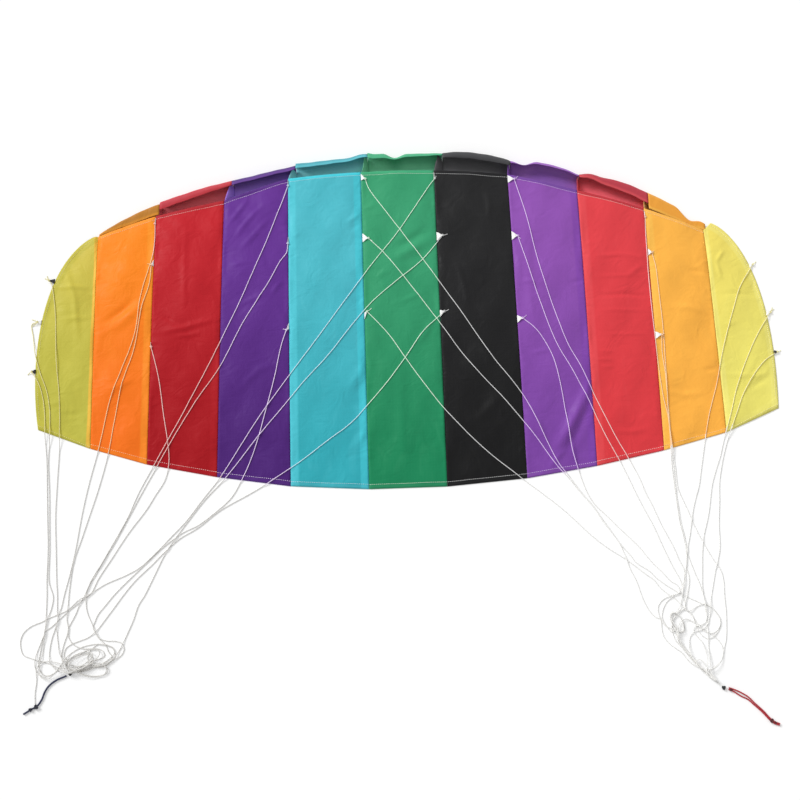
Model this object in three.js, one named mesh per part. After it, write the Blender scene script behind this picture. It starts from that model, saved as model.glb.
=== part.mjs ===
// Two-line foil kite, laid on its back: an upper skin on the floor, a lower skin above it,
// ribs between them along ten seams, three bridle lines on each of eight chordwise edges,
// and a tow loop on each side.
// Millimetres. X runs along the span to the right, Y towards the leading edge, Z up from the floor.
import * as THREE from 'three';

// ---- Driving dimensions --------------------------------------------------------------------

const CLOTH = 1; // thickness of every cloth piece
const GAP = 0.3; // clearance between two pieces that are sewn together
const EDGE_TOP = 2 * CLOTH + GAP; // top of the lower skin where both skins are sewn together
const CROWN = 3; // how far a cell's lower skin swells between its two seams
const RIB_WIDTH = 1.2; // thickness of a leaning rib, measured level
const FACET_DEPTH = 1.2; // how far a facet of the nose may lie behind the curve that it follows
const RIB_START = 24; // distance from the trailing edge to the start of a rib
const CURL_TURNS = 6; // flats round the curl of the nose
const CURL_TURN = Math.PI / CURL_TURNS;
const TAB = { length: 10, height: 7, reach: 8, step: 0.5 }; // bridle tabs on ribs and at the tips
const TIP_SWEEP = 0.46 * Math.PI; // how far a tip's edge runs round its quarter of the superellipse
const TIP_EDGE = 1.05; // length of a tip's edge for each millimetre of its length on the plan
const TIP_EASE = 0.83; // how a tip's edge is shared out between its foot and its front end
const BOW_SCALE = 6.75; // makes the highest value of share * (1 - share) ** 2 one
const LIP_SHARE = 0.6; // share of a dent by which the lip of the upper skin gets shallower
const CLEAR_SIDE = RIB_WIDTH / 2 + GAP; // from a seam's middle to the lower skin beside it
const LEAN_DEPTH = 1.2 * CLOTH; // depth over which a leaning rib must clear the lower skin
const MIDDLE = { x: -2, y: 6 }; // middle of the canopy's box in the tables below

// Lines and tow loops: across, sides of the section, length of a step, how far they stop from
// their hank, and how far they stay off what they cross.
const LINE = { diameter: 1.4, sides: 8, step: 40, seat: 0.8, clear: 0.5 };
const LOOP = { diameter: 4, sides: 8, step: 14, seat: 0.7 };
const FINE_STEPS = 4; // points for each millimetre when a route is cut at a hank
const CHECKS = 24; // points along a segment when it is tried against another
const HANK_HEIGHT = 8;
const TAB_ROOM = 12; // a line this near outside a tip still lies as high as the tip, over its tabs

// One row per seam, from the left: where the lower skin's seam meets the mouth (front) and the
// trailing edge (rear), the height of the skin amidships (rise) and at the mouth, and how far
// the rib leans to the right on its way down to the upper skin.
const SEAMS = [
  { front: [-567, 181], rear: [-571, -221], rise: 9, mouth: 4, lean: 6 },
  { front: [-458, 213], rear: [-470, -253], rise: 20, mouth: 16, lean: 10 },
  { front: [-331, 238], rear: [-346, -280], rise: 24, mouth: 21, lean: 18 },
  { front: [-212, 277], rear: [-216, -301], rise: 25, mouth: 23, lean: 16 },
  { front: [-76, 285], rear: [-80, -311], rise: 25, mouth: 24, lean: 14 },
  { front: [60, 284], rear: [58, -311], rise: 25, mouth: 24, lean: 19 },
  { front: [200, 272], rear: [202, -301], rise: 25, mouth: 23, lean: 8 },
  { front: [327, 236], rear: [327, -283], rise: 24, mouth: 21, lean: 8 },
  { front: [447, 198], rear: [448, -259], rise: 20, mouth: 16, lean: 14 },
  { front: [557, 155], rear: [562, -230], rise: 9, mouth: 4, lean: 8 },
];

// One row per cell with an open mouth, from the left: where the nose lies at the left seam, in
// the middle and at the right seam, how deep the upper skin wraps back over at each end, and how
// much deeper it wraps amidships.
const NOSES = [
  { left: 187, middle: 219, right: 241, wrapLeft: 3.5, wrapRight: 19, wrapSwell: 5 },
  { left: 244, middle: 266, right: 282, wrapLeft: 18, wrapRight: 13, wrapSwell: 2 },
  { left: 282, middle: 295, right: 308, wrapLeft: 13, wrapRight: 12, wrapSwell: 0 },
  { left: 312, middle: 317, right: 324, wrapLeft: 14, wrapRight: 11, wrapSwell: 0 },
  { left: 327, middle: 325, right: 323, wrapLeft: 15, wrapRight: 8, wrapSwell: 0 },
  { left: 324, middle: 322, right: 304, wrapLeft: 14, wrapRight: 15, wrapSwell: 3 },
  { left: 304, middle: 297, right: 271, wrapLeft: 8, wrapRight: 7, wrapSwell: 1 },
  { left: 271, middle: 260, right: 232, wrapLeft: 9, wrapRight: 24, wrapSwell: 4 },
  { left: 232, middle: 204, right: 169, wrapLeft: 32, wrapRight: 9, wrapSwell: 4 },
];

// Creases that draw the nose in, or push it out: where, how far, and the half width of the dent.
const DENTS = [
  { x: -74, depth: -4, half: 24 },
  { x: -11, depth: 9, half: 24 },
  { x: 229, depth: 9.5, half: 28 },
  { x: 352, depth: -3.5, half: 24 },
  { x: 532, depth: 13, half: 26 },
];

// The rounded tips: the seam they start from, their side, the width and length of the
// superellipse that the edge follows, its foot at the rear corner, its two powers, and how far
// the edge bows out near its foot.
const TIPS = [
  { edge: 0, seam: 0, side: -1, width: 100.5, length: 367, rear: [-665.5, -183],
    power: 4, root: 1.6, bow: 9.5 },
  { edge: 11, seam: 9, side: 1, width: 97.5, length: 355, rear: [660, -189],
    power: 3.3, root: 1.7, bow: 4 },
];

// Bridle tabs in three rows, front to rear; edge 0 and 11 are the tips, the rest are seams.
const TABS = [
  { edge: 0, rows: [98, 19, -75] },
  { edge: 2, rows: [202, 118, -36] },
  { edge: 4, rows: [268, 155, -10] },
  { edge: 5, rows: [276, 159, 2.5] },
  { edge: 6, rows: [274, 156, 6] },
  { edge: 7, rows: [264, 149, -11] },
  { edge: 9, rows: [185, 111, -48] },
  { edge: 11, rows: [84, -9, -85] },
];

const CELL_COLOURS = [
  '#cfc54c', '#ff912d', '#b92833', '#5f2d87', '#50bfd0', '#3ba372',
  '#29292b', '#9155b4', '#d93d4c', '#ffaf46', '#e2d960',
];
const CORD_COLOURS = { line: '#f4f3ef', blue: '#1d2a5e', red: '#d3242c' };

// Bridle lines from tab to hank, as laid on the canopy and the floor. Each row is one line:
// the edge and row of its tab, the side it gathers to, and the points it passes.
const LINES = [
  { edge: 4, row: 'C', side: 'left', via: [[-229, -48], [-241, -102], [-255, -153], [-271, -210],
    [-289, -259], [-304, -290], [-321, -318], [-345, -340], [-379, -365], [-405, -377],
    [-440, -402], [-470, -430], [-500, -458], [-520, -474], [-545, -503], [-560, -525],
    [-570, -548]] },
  { edge: 6, row: 'C', side: 'left', via: [[28, -29], [-6, -76], [-39, -119], [-75, -159],
    [-108, -193], [-151, -224], [-199, -258], [-246, -288], [-286, -311], [-340, -340],
    [-380, -370], [-410, -387], [-438, -411], [-458, -431], [-487, -458], [-510, -483],
    [-532, -510], [-546, -532], [-555, -552]] },
  { edge: 2, row: 'C', side: 'left', via: [[-450, -94], [-441, -162], [-434, -207], [-431, -249],
    [-438, -282], [-455, -310], [-469, -333], [-502, -377], [-529, -419], [-551, -453],
    [-563, -477], [-585, -494], [-603, -508], [-618, -522], [-628, -540]] },
  { edge: 4, row: 'B', side: 'left', via: [[-216, 131], [-229, 112], [-247, 78], [-271, 40],
    [-297, -1], [-340, -82],
    [-381, -140], [-430, -219], [-456, -264], [-477, -302], [-500, -346], [-524, -391],
    [-542, -421], [-556, -446], [-569, -473], [-575, -495], [-576, -515], [-572, -550]] },
  { edge: 4, row: 'A', side: 'left', via: [[-219, 242], [-259, 139], [-301, 43], [-340, -38],
    [-403, -159], [-452, -245], [-484, -304], [-504, -351], [-529, -396], [-546, -427],
    [-561, -451], [-577, -477], [-590, -510], [-603, -535], [-612, -560]] },
  { edge: 6, row: 'B', side: 'left', via: [[31, 107], [-22, 64], [-66, 27], [-145, -67],
    [-198, -124], [-242, -175], [-281, -221], [-328, -279], [-367, -320], [-397, -358],
    [-422, -392], [-438, -417], [-454, -450], [-470, -482], [-489, -520], [-503, -560]] },
  { edge: 6, row: 'A', side: 'left', via: [[50, 252], [-5, 171], [-74, 85], [-143, -8],
    [-197, -78], [-251, -149], [-301, -222], [-338, -278], [-370, -318], [-400, -357],
    [-427, -385], [-456, -415], [-479, -435], [-501, -447], [-540, -463], [-577, -480],
    [-600, -496], [-640, -522]] },
  { edge: 2, row: 'A', side: 'left', via: [[-459, 170], [-462, 138], [-470, 108], [-483, 60], [-493, -12],
    [-517, -79], [-537, -135], [-555, -216], [-572, -285], [-583, -341], [-592, -401],
    [-607, -440], [-613, -480], [-617, -530]] },
  { edge: 2, row: 'B', side: 'left', via: [[-468, 80], [-480, 40], [-494, -39], [-515, -103],
    [-529, -175], [-538, -226], [-554, -291], [-568, -337], [-582, -382], [-594, -420],
    [-602, -455], [-603, -490], [-603, -545]] },
  { edge: 0, row: 'A', side: 'left', via: [[-651, 93], [-647, 76], [-643, 50], [-640, 21],
    [-636, -60], [-629, -120],
    [-626, -200], [-628, -280], [-629, -340], [-626, -400], [-623, -455], [-622, -530]] },
  { edge: 0, row: 'C', side: 'left', via: [[-667, -97], [-659, -122], [-654, -155], [-652, -200],
    [-648, -240], [-645, -300], [-643, -340], [-640, -400], [-642, -455], [-643, -530]] },
  { edge: 0, row: 'B', side: 'left', via: [[-684, 16], [-681, -8], [-675, -44], [-664, -80],
    [-652, -112], [-645, -150], [-644, -200], [-645, -240], [-641, -300], [-639, -350],
    [-637, -400], [-632, -455], [-632, -530]] },
  { edge: 5, row: 'C', side: 'right', via: [[-34, -32], [-6, -76], [35, -137], [70, -183],
    [127, -245], [191, -300], [231, -333], [260, -358], [280, -378], [300, -399], [321, -419],
    [342, -435], [365, -451], [400, -480], [422, -495], [450, -515]] },
  { edge: 5, row: 'B', side: 'right', via: [[-41, 126], [-7, 81], [51, -1], [108, -86],
    [173, -163], [222, -229], [255, -280], [273, -301], [294, -330], [314, -356], [326, -377],
    [342, -401], [355, -422], [364, -446], [370, -467], [379, -488], [388, -520], [425, -560]] },
  { edge: 5, row: 'A', side: 'right', via: [[-62, 252], [-7, 167], [36, 104], [96, 10],
    [150, -78], [205, -156], [241, -238], [259, -277], [276, -300], [295, -330], [315, -357],
    [327, -377], [342, -401], [356, -423], [372, -443], [382, -457], [400, -470], [420, -484],
    [450, -508]] },
  { edge: 7, row: 'C', side: 'right', via: [[235, -35], [257, -76], [269, -126], [278, -197],
    [284, -252], [293, -289], [300, -315], [307, -334], [318, -353], [334, -370], [352, -390],
    [373, -412], [390, -431], [408, -456], [434, -477], [460, -504]] },
  { edge: 7, row: 'B', side: 'right', via: [[220, 107], [239, 33], [267, -57], [294, -110],
    [321, -171], [345, -230], [369, -279], [378, -301], [391, -334], [400, -356], [418, -396],
    [424, -413], [432, -435], [441, -458], [453, -481], [462, -510]] },
  { edge: 7, row: 'A', side: 'right', via: [[225, 197], [246, 87], [274, -19], [288, -60],
    [309, -103], [334, -166], [361, -228], [387, -279], [400, -309], [409, -336], [418, -357],
    [431, -392], [440, -412], [450, -435], [457, -456], [464, -480], [466, -510]] },
  { edge: 9, row: 'A', side: 'right', via: [[438, 150], [437, 110], [436, 76], [436, -6],
    [434, -50], [444, -105], [453, -160], [459, -200], [460, -256], [459, -288], [460, -317],
    [462, -362], [464, -391], [468, -415], [470, -441], [468, -463], [471, -487], [470, -512]] },
  { edge: 9, row: 'C', side: 'right', via: [[458, -80], [460, -120], [461, -177], [461, -230],
    [461, -260], [462, -291], [462, -331], [464, -363], [466, -392], [470, -415], [472, -442],
    [480, -457], [484, -480], [489, -495], [494, -512]] },
  { edge: 9, row: 'B', side: 'right', via: [[458, 85], [461, 14], [463, -59], [461, -135],
    [460, -219], [463, -261], [465, -291], [466, -328], [474, -353], [482, -375], [488, -394],
    [502, -427], [515, -454], [525, -472], [530, -490], [530, -520]] },
  { edge: 11, row: 'A', side: 'right', via: [[612, 40], [596, 0], [570, -75], [552, -141],
    [534, -195], [520, -253], [510, -297], [503, -327], [495, -349], [488, -372], [483, -395],
    [479, -413], [473, -435], [467, -470], [464, -505]] },
  { edge: 11, row: 'B', side: 'right', via: [[637, -48], [611, -96], [587, -151], [571, -200],
    [559, -234], [546, -274], [535, -301], [527, -324], [521, -351], [516, -374], [510, -394],
    [502, -420], [498, -445], [498, -475], [500, -512]] },
  { edge: 11, row: 'C', side: 'right', via: [[644, -100], [621, -126], [599, -160], [581, -200],
    [564, -240], [552, -274], [545, -299], [540, -322], [537, -353], [532, -393], [529, -438],
    [530, -468], [521, -491], [512, -520]] },
];

// The gathered slack of the lines on each side, and the tow loop that it ends in.
const HANKS = [
  { side: 'left', name: 'Line_Hank_Left', loop: 'Tow_Loop_Blue', colour: CORD_COLOURS.blue,
    outline: [[-683, -562], [-679, -543], [-664, -528], [-635, -522], [-600, -534], [-565, -545],
      [-510, -551], [-503, -566], [-508, -585], [-529, -600], [-535, -613], [-556, -620],
      [-583, -618], [-597, -612], [-604, -603], [-624, -604], [-652, -612], [-664, -598],
      [-678, -580]],
    tow: [[-588, -603], [-596, -612], [-605, -616], [-615, -620], [-630, -630], [-636, -640],
      [-641, -653], [-648, -663], [-657, -668], [-671, -676]] },
  { side: 'right', name: 'Line_Hank_Right', loop: 'Tow_Loop_Red', colour: CORD_COLOURS.red,
    outline: [[440, -512], [416, -528], [411, -560], [417, -586], [436, -606], [452, -624],
      [474, -643], [490, -658], [505, -671], [511, -666], [500, -654], [494, -643],
      [508, -636], [521, -606], [530, -560], [531, -512], [505, -500], [465, -504]],
    tow: [[498, -659], [505, -666], [514, -674], [522, -676], [531, -680], [541, -686], [551, -692],
      [561, -702], [574, -715], [584, -727], [591, -733], [600, -737]] },
];

// ---- The shape of the canopy ----------------------------------------------------------------

const lerp = THREE.MathUtils.lerp;

/** Plan position of a seam on the lower skin, at a share t of the chord from the rear. */
function seamPoint(seam, t) {
  return [lerp(seam.rear[0], seam.front[0], t), lerp(seam.rear[1], seam.front[1], t)];
}

/** Height of the lower skin's top face at a share t of the chord from the trailing edge. */
function chordRise(rise, mouth, t) {
  return EDGE_TOP + rise * Math.sin((t * Math.PI) / 2) + (mouth - rise) * t ** 6;
}

/** Top face of the lower skin in an open cell, at s across the cell and t along the chord. */
function cellTop(left, right, s, t) {
  const rise = lerp(left.rise, right.rise, s);
  const mouth = lerp(left.mouth, right.mouth, s);
  const crown = CROWN * 4 * s * (1 - s) * Math.sin((t * Math.PI) / 2);
  return chordRise(rise, mouth, t) + crown;
}

/** How far a rib shifts to the right for each millimetre that it goes down. */
function ribSlope(seam) {
  return seam.lean / (EDGE_TOP + seam.rise - CLOTH - GAP);
}

/** Radius of the upper skin's curl at the nose of one seam. */
function curlRadius(seam) {
  return (EDGE_TOP + seam.mouth) / 2;
}

/** How far the creases draw the nose in at x. */
function dent(x) {
  return DENTS.reduce((sum, row) => {
    const share = Math.abs(x - row.x) / row.half;
    return share < 1 ? sum + row.depth * (1 - share) ** 2 * (1 + 2 * share) : sum;
  }, 0);
}

/** Outline of the nose in the mouth cell c at u across it, as a parabola less its creases. */
function noseY(c, u) {
  const row = NOSES[c];
  const swell = row.middle - (row.left + row.right) / 2;
  const x = lerp(noseX(c), noseX(c + 1), u);
  return lerp(row.left, row.right, u) + 4 * swell * u * (1 - u) - dent(x);
}

/** How deep the upper skin wraps back over at the nose of mouth cell c, at u across it. */
function wrapDepth(c, u) {
  const row = NOSES[c];
  const swell = 4 * row.wrapSwell * u * (1 - u);
  const x = lerp(noseX(c), noseX(c + 1), u);
  return lerp(row.wrapLeft, row.wrapRight, u) + swell - LIP_SHARE * Math.max(0, dent(x));
}

/** Where the upper skin's seam i reaches the nose. */
function noseX(i) {
  return SEAMS[i].front[0] + ribSlope(SEAMS[i]) * (EDGE_TOP + SEAMS[i].mouth - CLOTH - GAP);
}

/** How far forward the noses beside seam i reach at the most. */
function seamNose(i) {
  const beside = NOSES.slice(Math.max(i - 1, 0), i + 1);
  return Math.max(...beside.flatMap((row) => [row.left, row.right]));
}

/** The upper skin's seam i at y: straight from the trailing edge to the nose. */
function upperSeamX(i, y) {
  const seam = SEAMS[i];
  const nose = seamNose(i);
  return lerp(seam.rear[0], noseX(i), (y - seam.rear[1]) / (nose - seam.rear[1]));
}

/** Half width of a tip beyond its seam at height y on the plan. */
function tipReach(tip, y) {
  const share = THREE.MathUtils.clamp((y - tip.rear[1]) / tip.length, 0, 1);
  const bow = tip.bow * BOW_SCALE * share * (1 - share) ** 2;
  return tip.width * (1 - share ** tip.power) ** (1 / tip.root) + bow;
}

/** Plan position on a tip's edge, from the rear corner (v = 0) to the front end (v = 1). */
function tipPoint(tip, v) {
  const foot = tip.rear[1];
  const angle = v * TIP_SWEEP;
  const y = foot + tip.length * Math.sin(angle) ** TIP_EASE;
  const x = tip.rear[0] - tip.side * (tip.width - tipReach(tip, y));
  return [x, y];
}

/** Top face of the lower skin over a tip at a plan point. */
function tipTop(tip, x, y) {
  const seam = SEAMS[tip.seam];
  const from = seamPoint(seam, 0.5)[0];
  const reach = Math.max(tipReach(tip, y), 1);
  const share = THREE.MathUtils.clamp((tip.side * (x - from)) / reach, 0, 1);
  const [ahead, chord] = [y - seam.rear[1], seam.front[1] - seam.rear[1]];
  const top = chordRise(seam.rise, seam.mouth, THREE.MathUtils.clamp(ahead / chord, 0, 1));
  return EDGE_TOP + (top - EDGE_TOP) * (1 - share ** 2);
}

/** The trailing edge's y at x. */
function rearY(x) {
  const corners = [TIPS[0].rear, ...SEAMS.map((seam) => seam.rear), TIPS[1].rear];
  const i = THREE.MathUtils.clamp(corners.findIndex((p) => p[0] > x), 1, corners.length - 1);
  const [a, b] = [corners[i - 1], corners[i]];
  return lerp(a[1], b[1], THREE.MathUtils.clamp((x - a[0]) / (b[0] - a[0]), 0, 1));
}

/** What a line lies on at a plan point: the lower skin, a tip's surroundings or the floor. */
function groundTop(x, y) {
  for (const tip of TIPS) {
    const beyond = tip.side * (x - SEAMS[tip.seam].front[0]);
    if (beyond > 0) {
      const out = beyond - tipReach(tip, y) - TAB_ROOM;
      const behind = rearY(x) - TAB_ROOM - y;
      return out > 0 || behind > 0 ? 0 : tipTop(tip, x, y);
    }
  }
  for (let c = 0; c < SEAMS.length - 1; c += 1) {
    const [left, right] = [SEAMS[c], SEAMS[c + 1]];
    let [s, t] = [0.5, 0.5];
    for (let round = 0; round < 4; round += 1) {
      const [a, b] = [seamPoint(left, t), seamPoint(right, t)];
      s = (x - a[0]) / (b[0] - a[0]);
      const low = lerp(left.rear[1], right.rear[1], s);
      t = (y - low) / (lerp(left.front[1], right.front[1], s) - low);
    }
    if (s >= 0 && s <= 1) {
      return t < 0 || t > 1 ? 0 : cellTop(left, right, s, t);
    }
  }
  return 0;
}

// ---- Making pieces --------------------------------------------------------------------------

const kite = new THREE.Group();
kite.position.set(-MIDDLE.x, -MIDDLE.y, 0);

/** Adds one named piece to the kite. */
function piece(name, geometry, colour, roughness = 0.6) {
  const material = new THREE.MeshStandardMaterial({ color: colour, roughness, metalness: 0 });
  const mesh = new THREE.Mesh(geometry, material);
  mesh.name = name;
  kite.add(mesh);
}

/** A cloth piece: a block of nu by nv by 1 cells bent into place, one vertex at a time. */
function sheet(nu, nv, place) {
  const geometry = new THREE.BoxGeometry(1, 1, 1, nu, nv, 1);
  const spots = geometry.attributes.position;
  for (let i = 0; i < spots.count; i += 1) {
    const [u, v, w] = [spots.getX(i) + 0.5, spots.getY(i) + 0.5, spots.getZ(i) + 0.5];
    spots.setXYZ(i, ...place(u, v, Math.round(w)));
  }
  geometry.computeVertexNormals();
  return geometry;
}

/** Share across a piece of this width, kept clear of its left and right edges. */
function inset(u, width, fromLeft, fromRight) {
  return lerp(fromLeft / width, 1 - fromRight / width, u);
}

/** From a seam's middle to the lower skin on its right, which the rib leans in under. */
function leanSide(seam) {
  return CLEAR_SIDE + LEAN_DEPTH * ribSlope(seam);
}

/** Lower skin of an open cell between two neighbouring seams. */
function lowerPanel(left, right) {
  return sheet(4, 8, (u, v, w) => {
    const [a, b] = [seamPoint(left, v), seamPoint(right, v)];
    const s = inset(u, b[0] - a[0], leanSide(left), CLEAR_SIDE);
    const z = cellTop(left, right, s, v) - (w ? 0 : CLOTH);
    return [lerp(a[0], b[0], s), lerp(a[1], b[1], s), z];
  });
}

/** Stations of a curve from 0 to 1: even steps, with a tab's four corners at each named spot. */
function stations(count, spots, half, step) {
  const even = Array.from({ length: count + 1 }, (_, i) => ({ at: i / count, tab: 0 }));
  const clear = even.filter((row) => spots.every((spot) => Math.abs(row.at - spot) > half + step));
  const corners = spots.flatMap((spot) => [
    { at: spot - half - step, tab: 0 },
    { at: spot - half, tab: 1 },
    { at: spot + half, tab: 1 },
    { at: spot + half + step, tab: 0 },
  ]);
  return [...clear, ...corners].sort((p, q) => p.at - q.at);
}

/** Share along a tip's edge at which it reaches height y. */
function tipShareAt(tip, y) {
  const sine = ((y - tip.rear[1]) / tip.length) ** (1 / TIP_EASE);
  return Math.asin(sine) / TIP_SWEEP;
}

/** One skin of a tip, from its seam out to the rounded edge; the lower one carries the tabs. */
function tipPanel(tip, edge, lower) {
  const seam = SEAMS[tip.seam];
  const rows = lower ? TABS.find((row) => row.edge === edge).rows : [];
  const spots = rows.map((y) => tipShareAt(tip, y));
  const edgeLength = TIP_EDGE * tip.length;
  const marks = stations(10, spots, TAB.length / 2 / edgeLength, TAB.step / edgeLength);
  const beside = tip.side < 0 ? CLEAR_SIDE : leanSide(seam);
  const margin = lower ? beside : GAP / 2;
  return sheet(4, marks.length - 1, (u, v, w) => {
    const mark = marks[Math.round(v * (marks.length - 1))];
    const outward = tip.side > 0 ? u : 1 - u;
    const [a, b] = [seamPoint(seam, mark.at), tipPoint(tip, mark.at)];
    if (!lower) {
      a[0] = upperSeamX(tip.seam, a[1]);
    }
    const share = lerp(margin / Math.abs(b[0] - a[0]), 1, outward);
    const out = outward === 1 ? tip.side * TAB.reach * mark.tab : 0;
    const x = lerp(a[0], b[0], share) + out;
    const y = lerp(a[1], b[1], share);
    return [x, y, lower ? tipTop(tip, x, y) - (w ? 0 : CLOTH) : w * CLOTH];
  });
}

/** Upper skin of an open cell: flat on the floor, curled up and wrapped back at the nose. */
function upperPanel(c) {
  const [left, right] = [SEAMS[c], SEAMS[c + 1]];
  const flat = [0, 0.5, 0.9, 1];
  const turns = CURL_TURNS;
  return sheet(6, flat.length + turns, (u, v, w) => {
    const s = inset(u, noseX(c + 1) - noseX(c), GAP / 2, GAP / 2);
    const radius = lerp(curlRadius(left), curlRadius(right), s);
    const wrap = wrapDepth(c, s);
    const nose = noseY(c, s);
    const rear = lerp(left.rear[1], right.rear[1], s);
    const i = Math.round(v * (flat.length + turns));
    const sweep = Math.PI / 2 + (wrap < radius ? Math.acos((radius - wrap) / radius) : Math.PI / 2);
    const angle = -Math.PI / 2 + sweep * Math.min(1, Math.max(0, i - flat.length + 1) / turns);
    const reach = radius - w * CLOTH;
    const centre = nose - radius;
    let y = centre + reach * Math.cos(angle);
    if (i < flat.length) {
      y = lerp(rear, centre, flat[i]);
    } else if (i === flat.length + turns) {
      y -= Math.max(0, wrap - radius);
    }
    const x = lerp(upperSeamX(c, y), upperSeamX(c + 1, y), s);
    return [x, y, radius + reach * Math.sin(angle)];
  });
}

/** The nose and the curl radius that the rib of seam i has to stay inside. */
function ribRoom(i) {
  const spots = [];
  if (i > 0) {
    const share = 1 - SEAMS[i].lean / (noseX(i) - noseX(i - 1));
    spots.push([i - 1, 1], [i - 1, share]);
  }
  if (i < SEAMS.length - 1) {
    const share = SEAMS[i].lean / (noseX(i + 1) - noseX(i));
    spots.push([i, 0], [i, share]);
  }
  const radii = spots.map(([c, u]) => lerp(curlRadius(SEAMS[c]), curlRadius(SEAMS[c + 1]), u));
  const nose = Math.min(...spots.map(([c, u]) => noseY(c, u))) - FACET_DEPTH;
  return { nose, radius: Math.min(...radii) };
}

/** A rib with its bridle tabs: it stands on the upper skin and leans from the lower seam. */
function rib(i) {
  const seam = SEAMS[i];
  const chord = seam.front[1] - seam.rear[1];
  const tabs = TABS.find((row) => row.edge === i + 1);
  const spots = tabs ? tabs.rows.map((y) => (y - seam.rear[1]) / chord) : [];
  const room = ribRoom(i);
  const inner = room.radius * Math.cos(CURL_TURN / 2) - CLOTH - GAP;
  const centre = room.nose - room.radius;
  const body = stations(9, spots, TAB.length / 2 / chord, TAB.step / chord)
    .filter((row) => row.at < 1)
    .map((row) => ({ ...row, at: Math.max(row.at, RIB_START / chord) }))
    .map((row) => {
      const top = chordRise(seam.rise, seam.mouth, row.at);
      const y = seam.rear[1] + row.at * chord;
      return { y, skin: top, top: top + TAB.height * row.tab, bottom: CLOTH + GAP };
    });
  const front = chordRise(seam.rise, seam.mouth, 1);
  const ends = [0, 0.5, 0.85].map((share) => {
    const half = inner * Math.sqrt(1 - share ** 2);
    const y = centre + inner * share;
    return { y, skin: front, top: room.radius + half, bottom: room.radius - half };
  });
  const lip = { skin: front, bottom: CLOTH + GAP };
  const edge = [
    { ...lip, y: seam.front[1] - TAB.step, top: front },
    { ...lip, y: seam.front[1] + TAB.step, top: room.radius + inner },
  ];
  const rows = [...body, ...edge, ...ends.filter((row) => row.y > seam.front[1] + 1)];
  const slope = ribSlope(seam);
  return sheet(rows.length - 1, 1, (u, v, w) => {
    const row = rows[Math.round(u * (rows.length - 1))];
    const x = lerp(seam.rear[0], seam.front[0], (row.y - seam.rear[1]) / chord);
    const z = v ? row.top : row.bottom;
    return [x + slope * (row.skin - z) + (w - 0.5) * RIB_WIDTH, row.y, z];
  });
}

/** A route that passes exactly through its own points, so that a tube keeps their heights. */
class Route extends THREE.Curve {
  constructor(points) {
    super();
    this.points = points;
  }

  getPointAt(u) {
    const place = u * (this.points.length - 1);
    const i = Math.min(Math.floor(place), this.points.length - 2);
    return this.points[i].clone().lerp(this.points[i + 1], place - i);
  }

  getTangentAt(u) {
    const i = Math.round(u * (this.points.length - 1));
    const before = this.points[Math.max(i - 1, 0)];
    const after = this.points[Math.min(i + 1, this.points.length - 1)];
    return after.clone().sub(before).normalize();
  }
}

/** A closed tube of this diameter through the points. */
function tube(points, diameter, sides) {
  const section = new THREE.Shape();
  for (let i = 0; i < sides; i += 1) {
    const angle = ((i + 0.5) / sides) * 2 * Math.PI;
    const [x, y] = [(diameter / 2) * Math.cos(angle), (diameter / 2) * Math.sin(angle)];
    if (i) {
      section.lineTo(x, y);
    } else {
      section.moveTo(x, y);
    }
  }
  const extrudePath = new Route(points);
  return new THREE.ExtrudeGeometry(section, { steps: points.length - 1, extrudePath });
}

/** Signed distance from a plan point to a closed outline, positive outside it. */
function outside(outline, point) {
  let [nearest, inside] = [Infinity, false];
  outline.forEach((b, i) => {
    const a = outline[(i + outline.length - 1) % outline.length];
    const side = b.clone().sub(a);
    const share = THREE.MathUtils.clamp(point.clone().sub(a).dot(side) / side.lengthSq(), 0, 1);
    nearest = Math.min(nearest, point.distanceTo(a.clone().addScaledVector(side, share)));
    const across = (point.y - a.y) / (b.y - a.y);
    if (a.y > point.y !== b.y > point.y && point.x < a.x + across * (b.x - a.x)) {
      inside = !inside;
    }
  });
  return inside ? -nearest : nearest;
}

/** The stretch of a plan route that lies clear of an outline, in even steps. */
function clearStretch(points, outline, margin, step) {
  const curve = new THREE.SplineCurve(points.map(([x, y]) => new THREE.Vector2(x, y)));
  const fine = curve.getSpacedPoints(Math.round(curve.getLength() * FINE_STEPS));
  const kept = fine.filter((point) => outside(outline, point) >= margin);
  const count = Math.ceil(kept.length / FINE_STEPS / step);
  const last = kept.length - 1;
  return Array.from({ length: count + 1 }, (_, i) => kept[Math.round((i / count) * last)]);
}

/** The closest that line segments a-b and c-d come on the plan. */
function segmentDistance(a, b, c, d) {
  let nearest = Infinity;
  for (let i = 0; i <= CHECKS; i += 1) {
    const p = a.clone().lerp(b, i / CHECKS);
    const side = d.clone().sub(c);
    const share = THREE.MathUtils.clamp(p.clone().sub(c).dot(side) / side.lengthSq(), 0, 1);
    nearest = Math.min(nearest, p.distanceTo(c.clone().addScaledVector(side, share)));
  }
  return nearest;
}

const laid = []; // segments of the lines that already lie there: plan ends and their height

/** Lays a plan route on what is under it, and over the lines that were laid before. */
function lay(plan) {
  const radius = LINE.diameter / 2;
  const heights = plan.map(() => 0);
  for (let i = 0; i < plan.length - 1; i += 1) {
    const [a, b] = [plan[i], plan[i + 1]];
    let need = 0;
    for (let share = 0; share <= 1; share += 0.1) {
      const p = a.clone().lerp(b, share);
      need = Math.max(need, groundTop(p.x, p.y) + LINE.clear + radius);
    }
    for (const old of laid) {
      if (segmentDistance(a, b, old.a, old.b) < LINE.diameter + LINE.clear) {
        need = Math.max(need, old.top + LINE.clear + radius);
      }
    }
    heights[i] = Math.max(heights[i], need);
    heights[i + 1] = Math.max(heights[i + 1], need);
  }
  for (let i = 0; i < plan.length - 1; i += 1) {
    const top = Math.max(heights[i], heights[i + 1]) + radius;
    laid.push({ a: plan[i], b: plan[i + 1], top });
  }
  return plan.map((p, i) => new THREE.Vector3(p.x, p.y, heights[i]));
}

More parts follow.
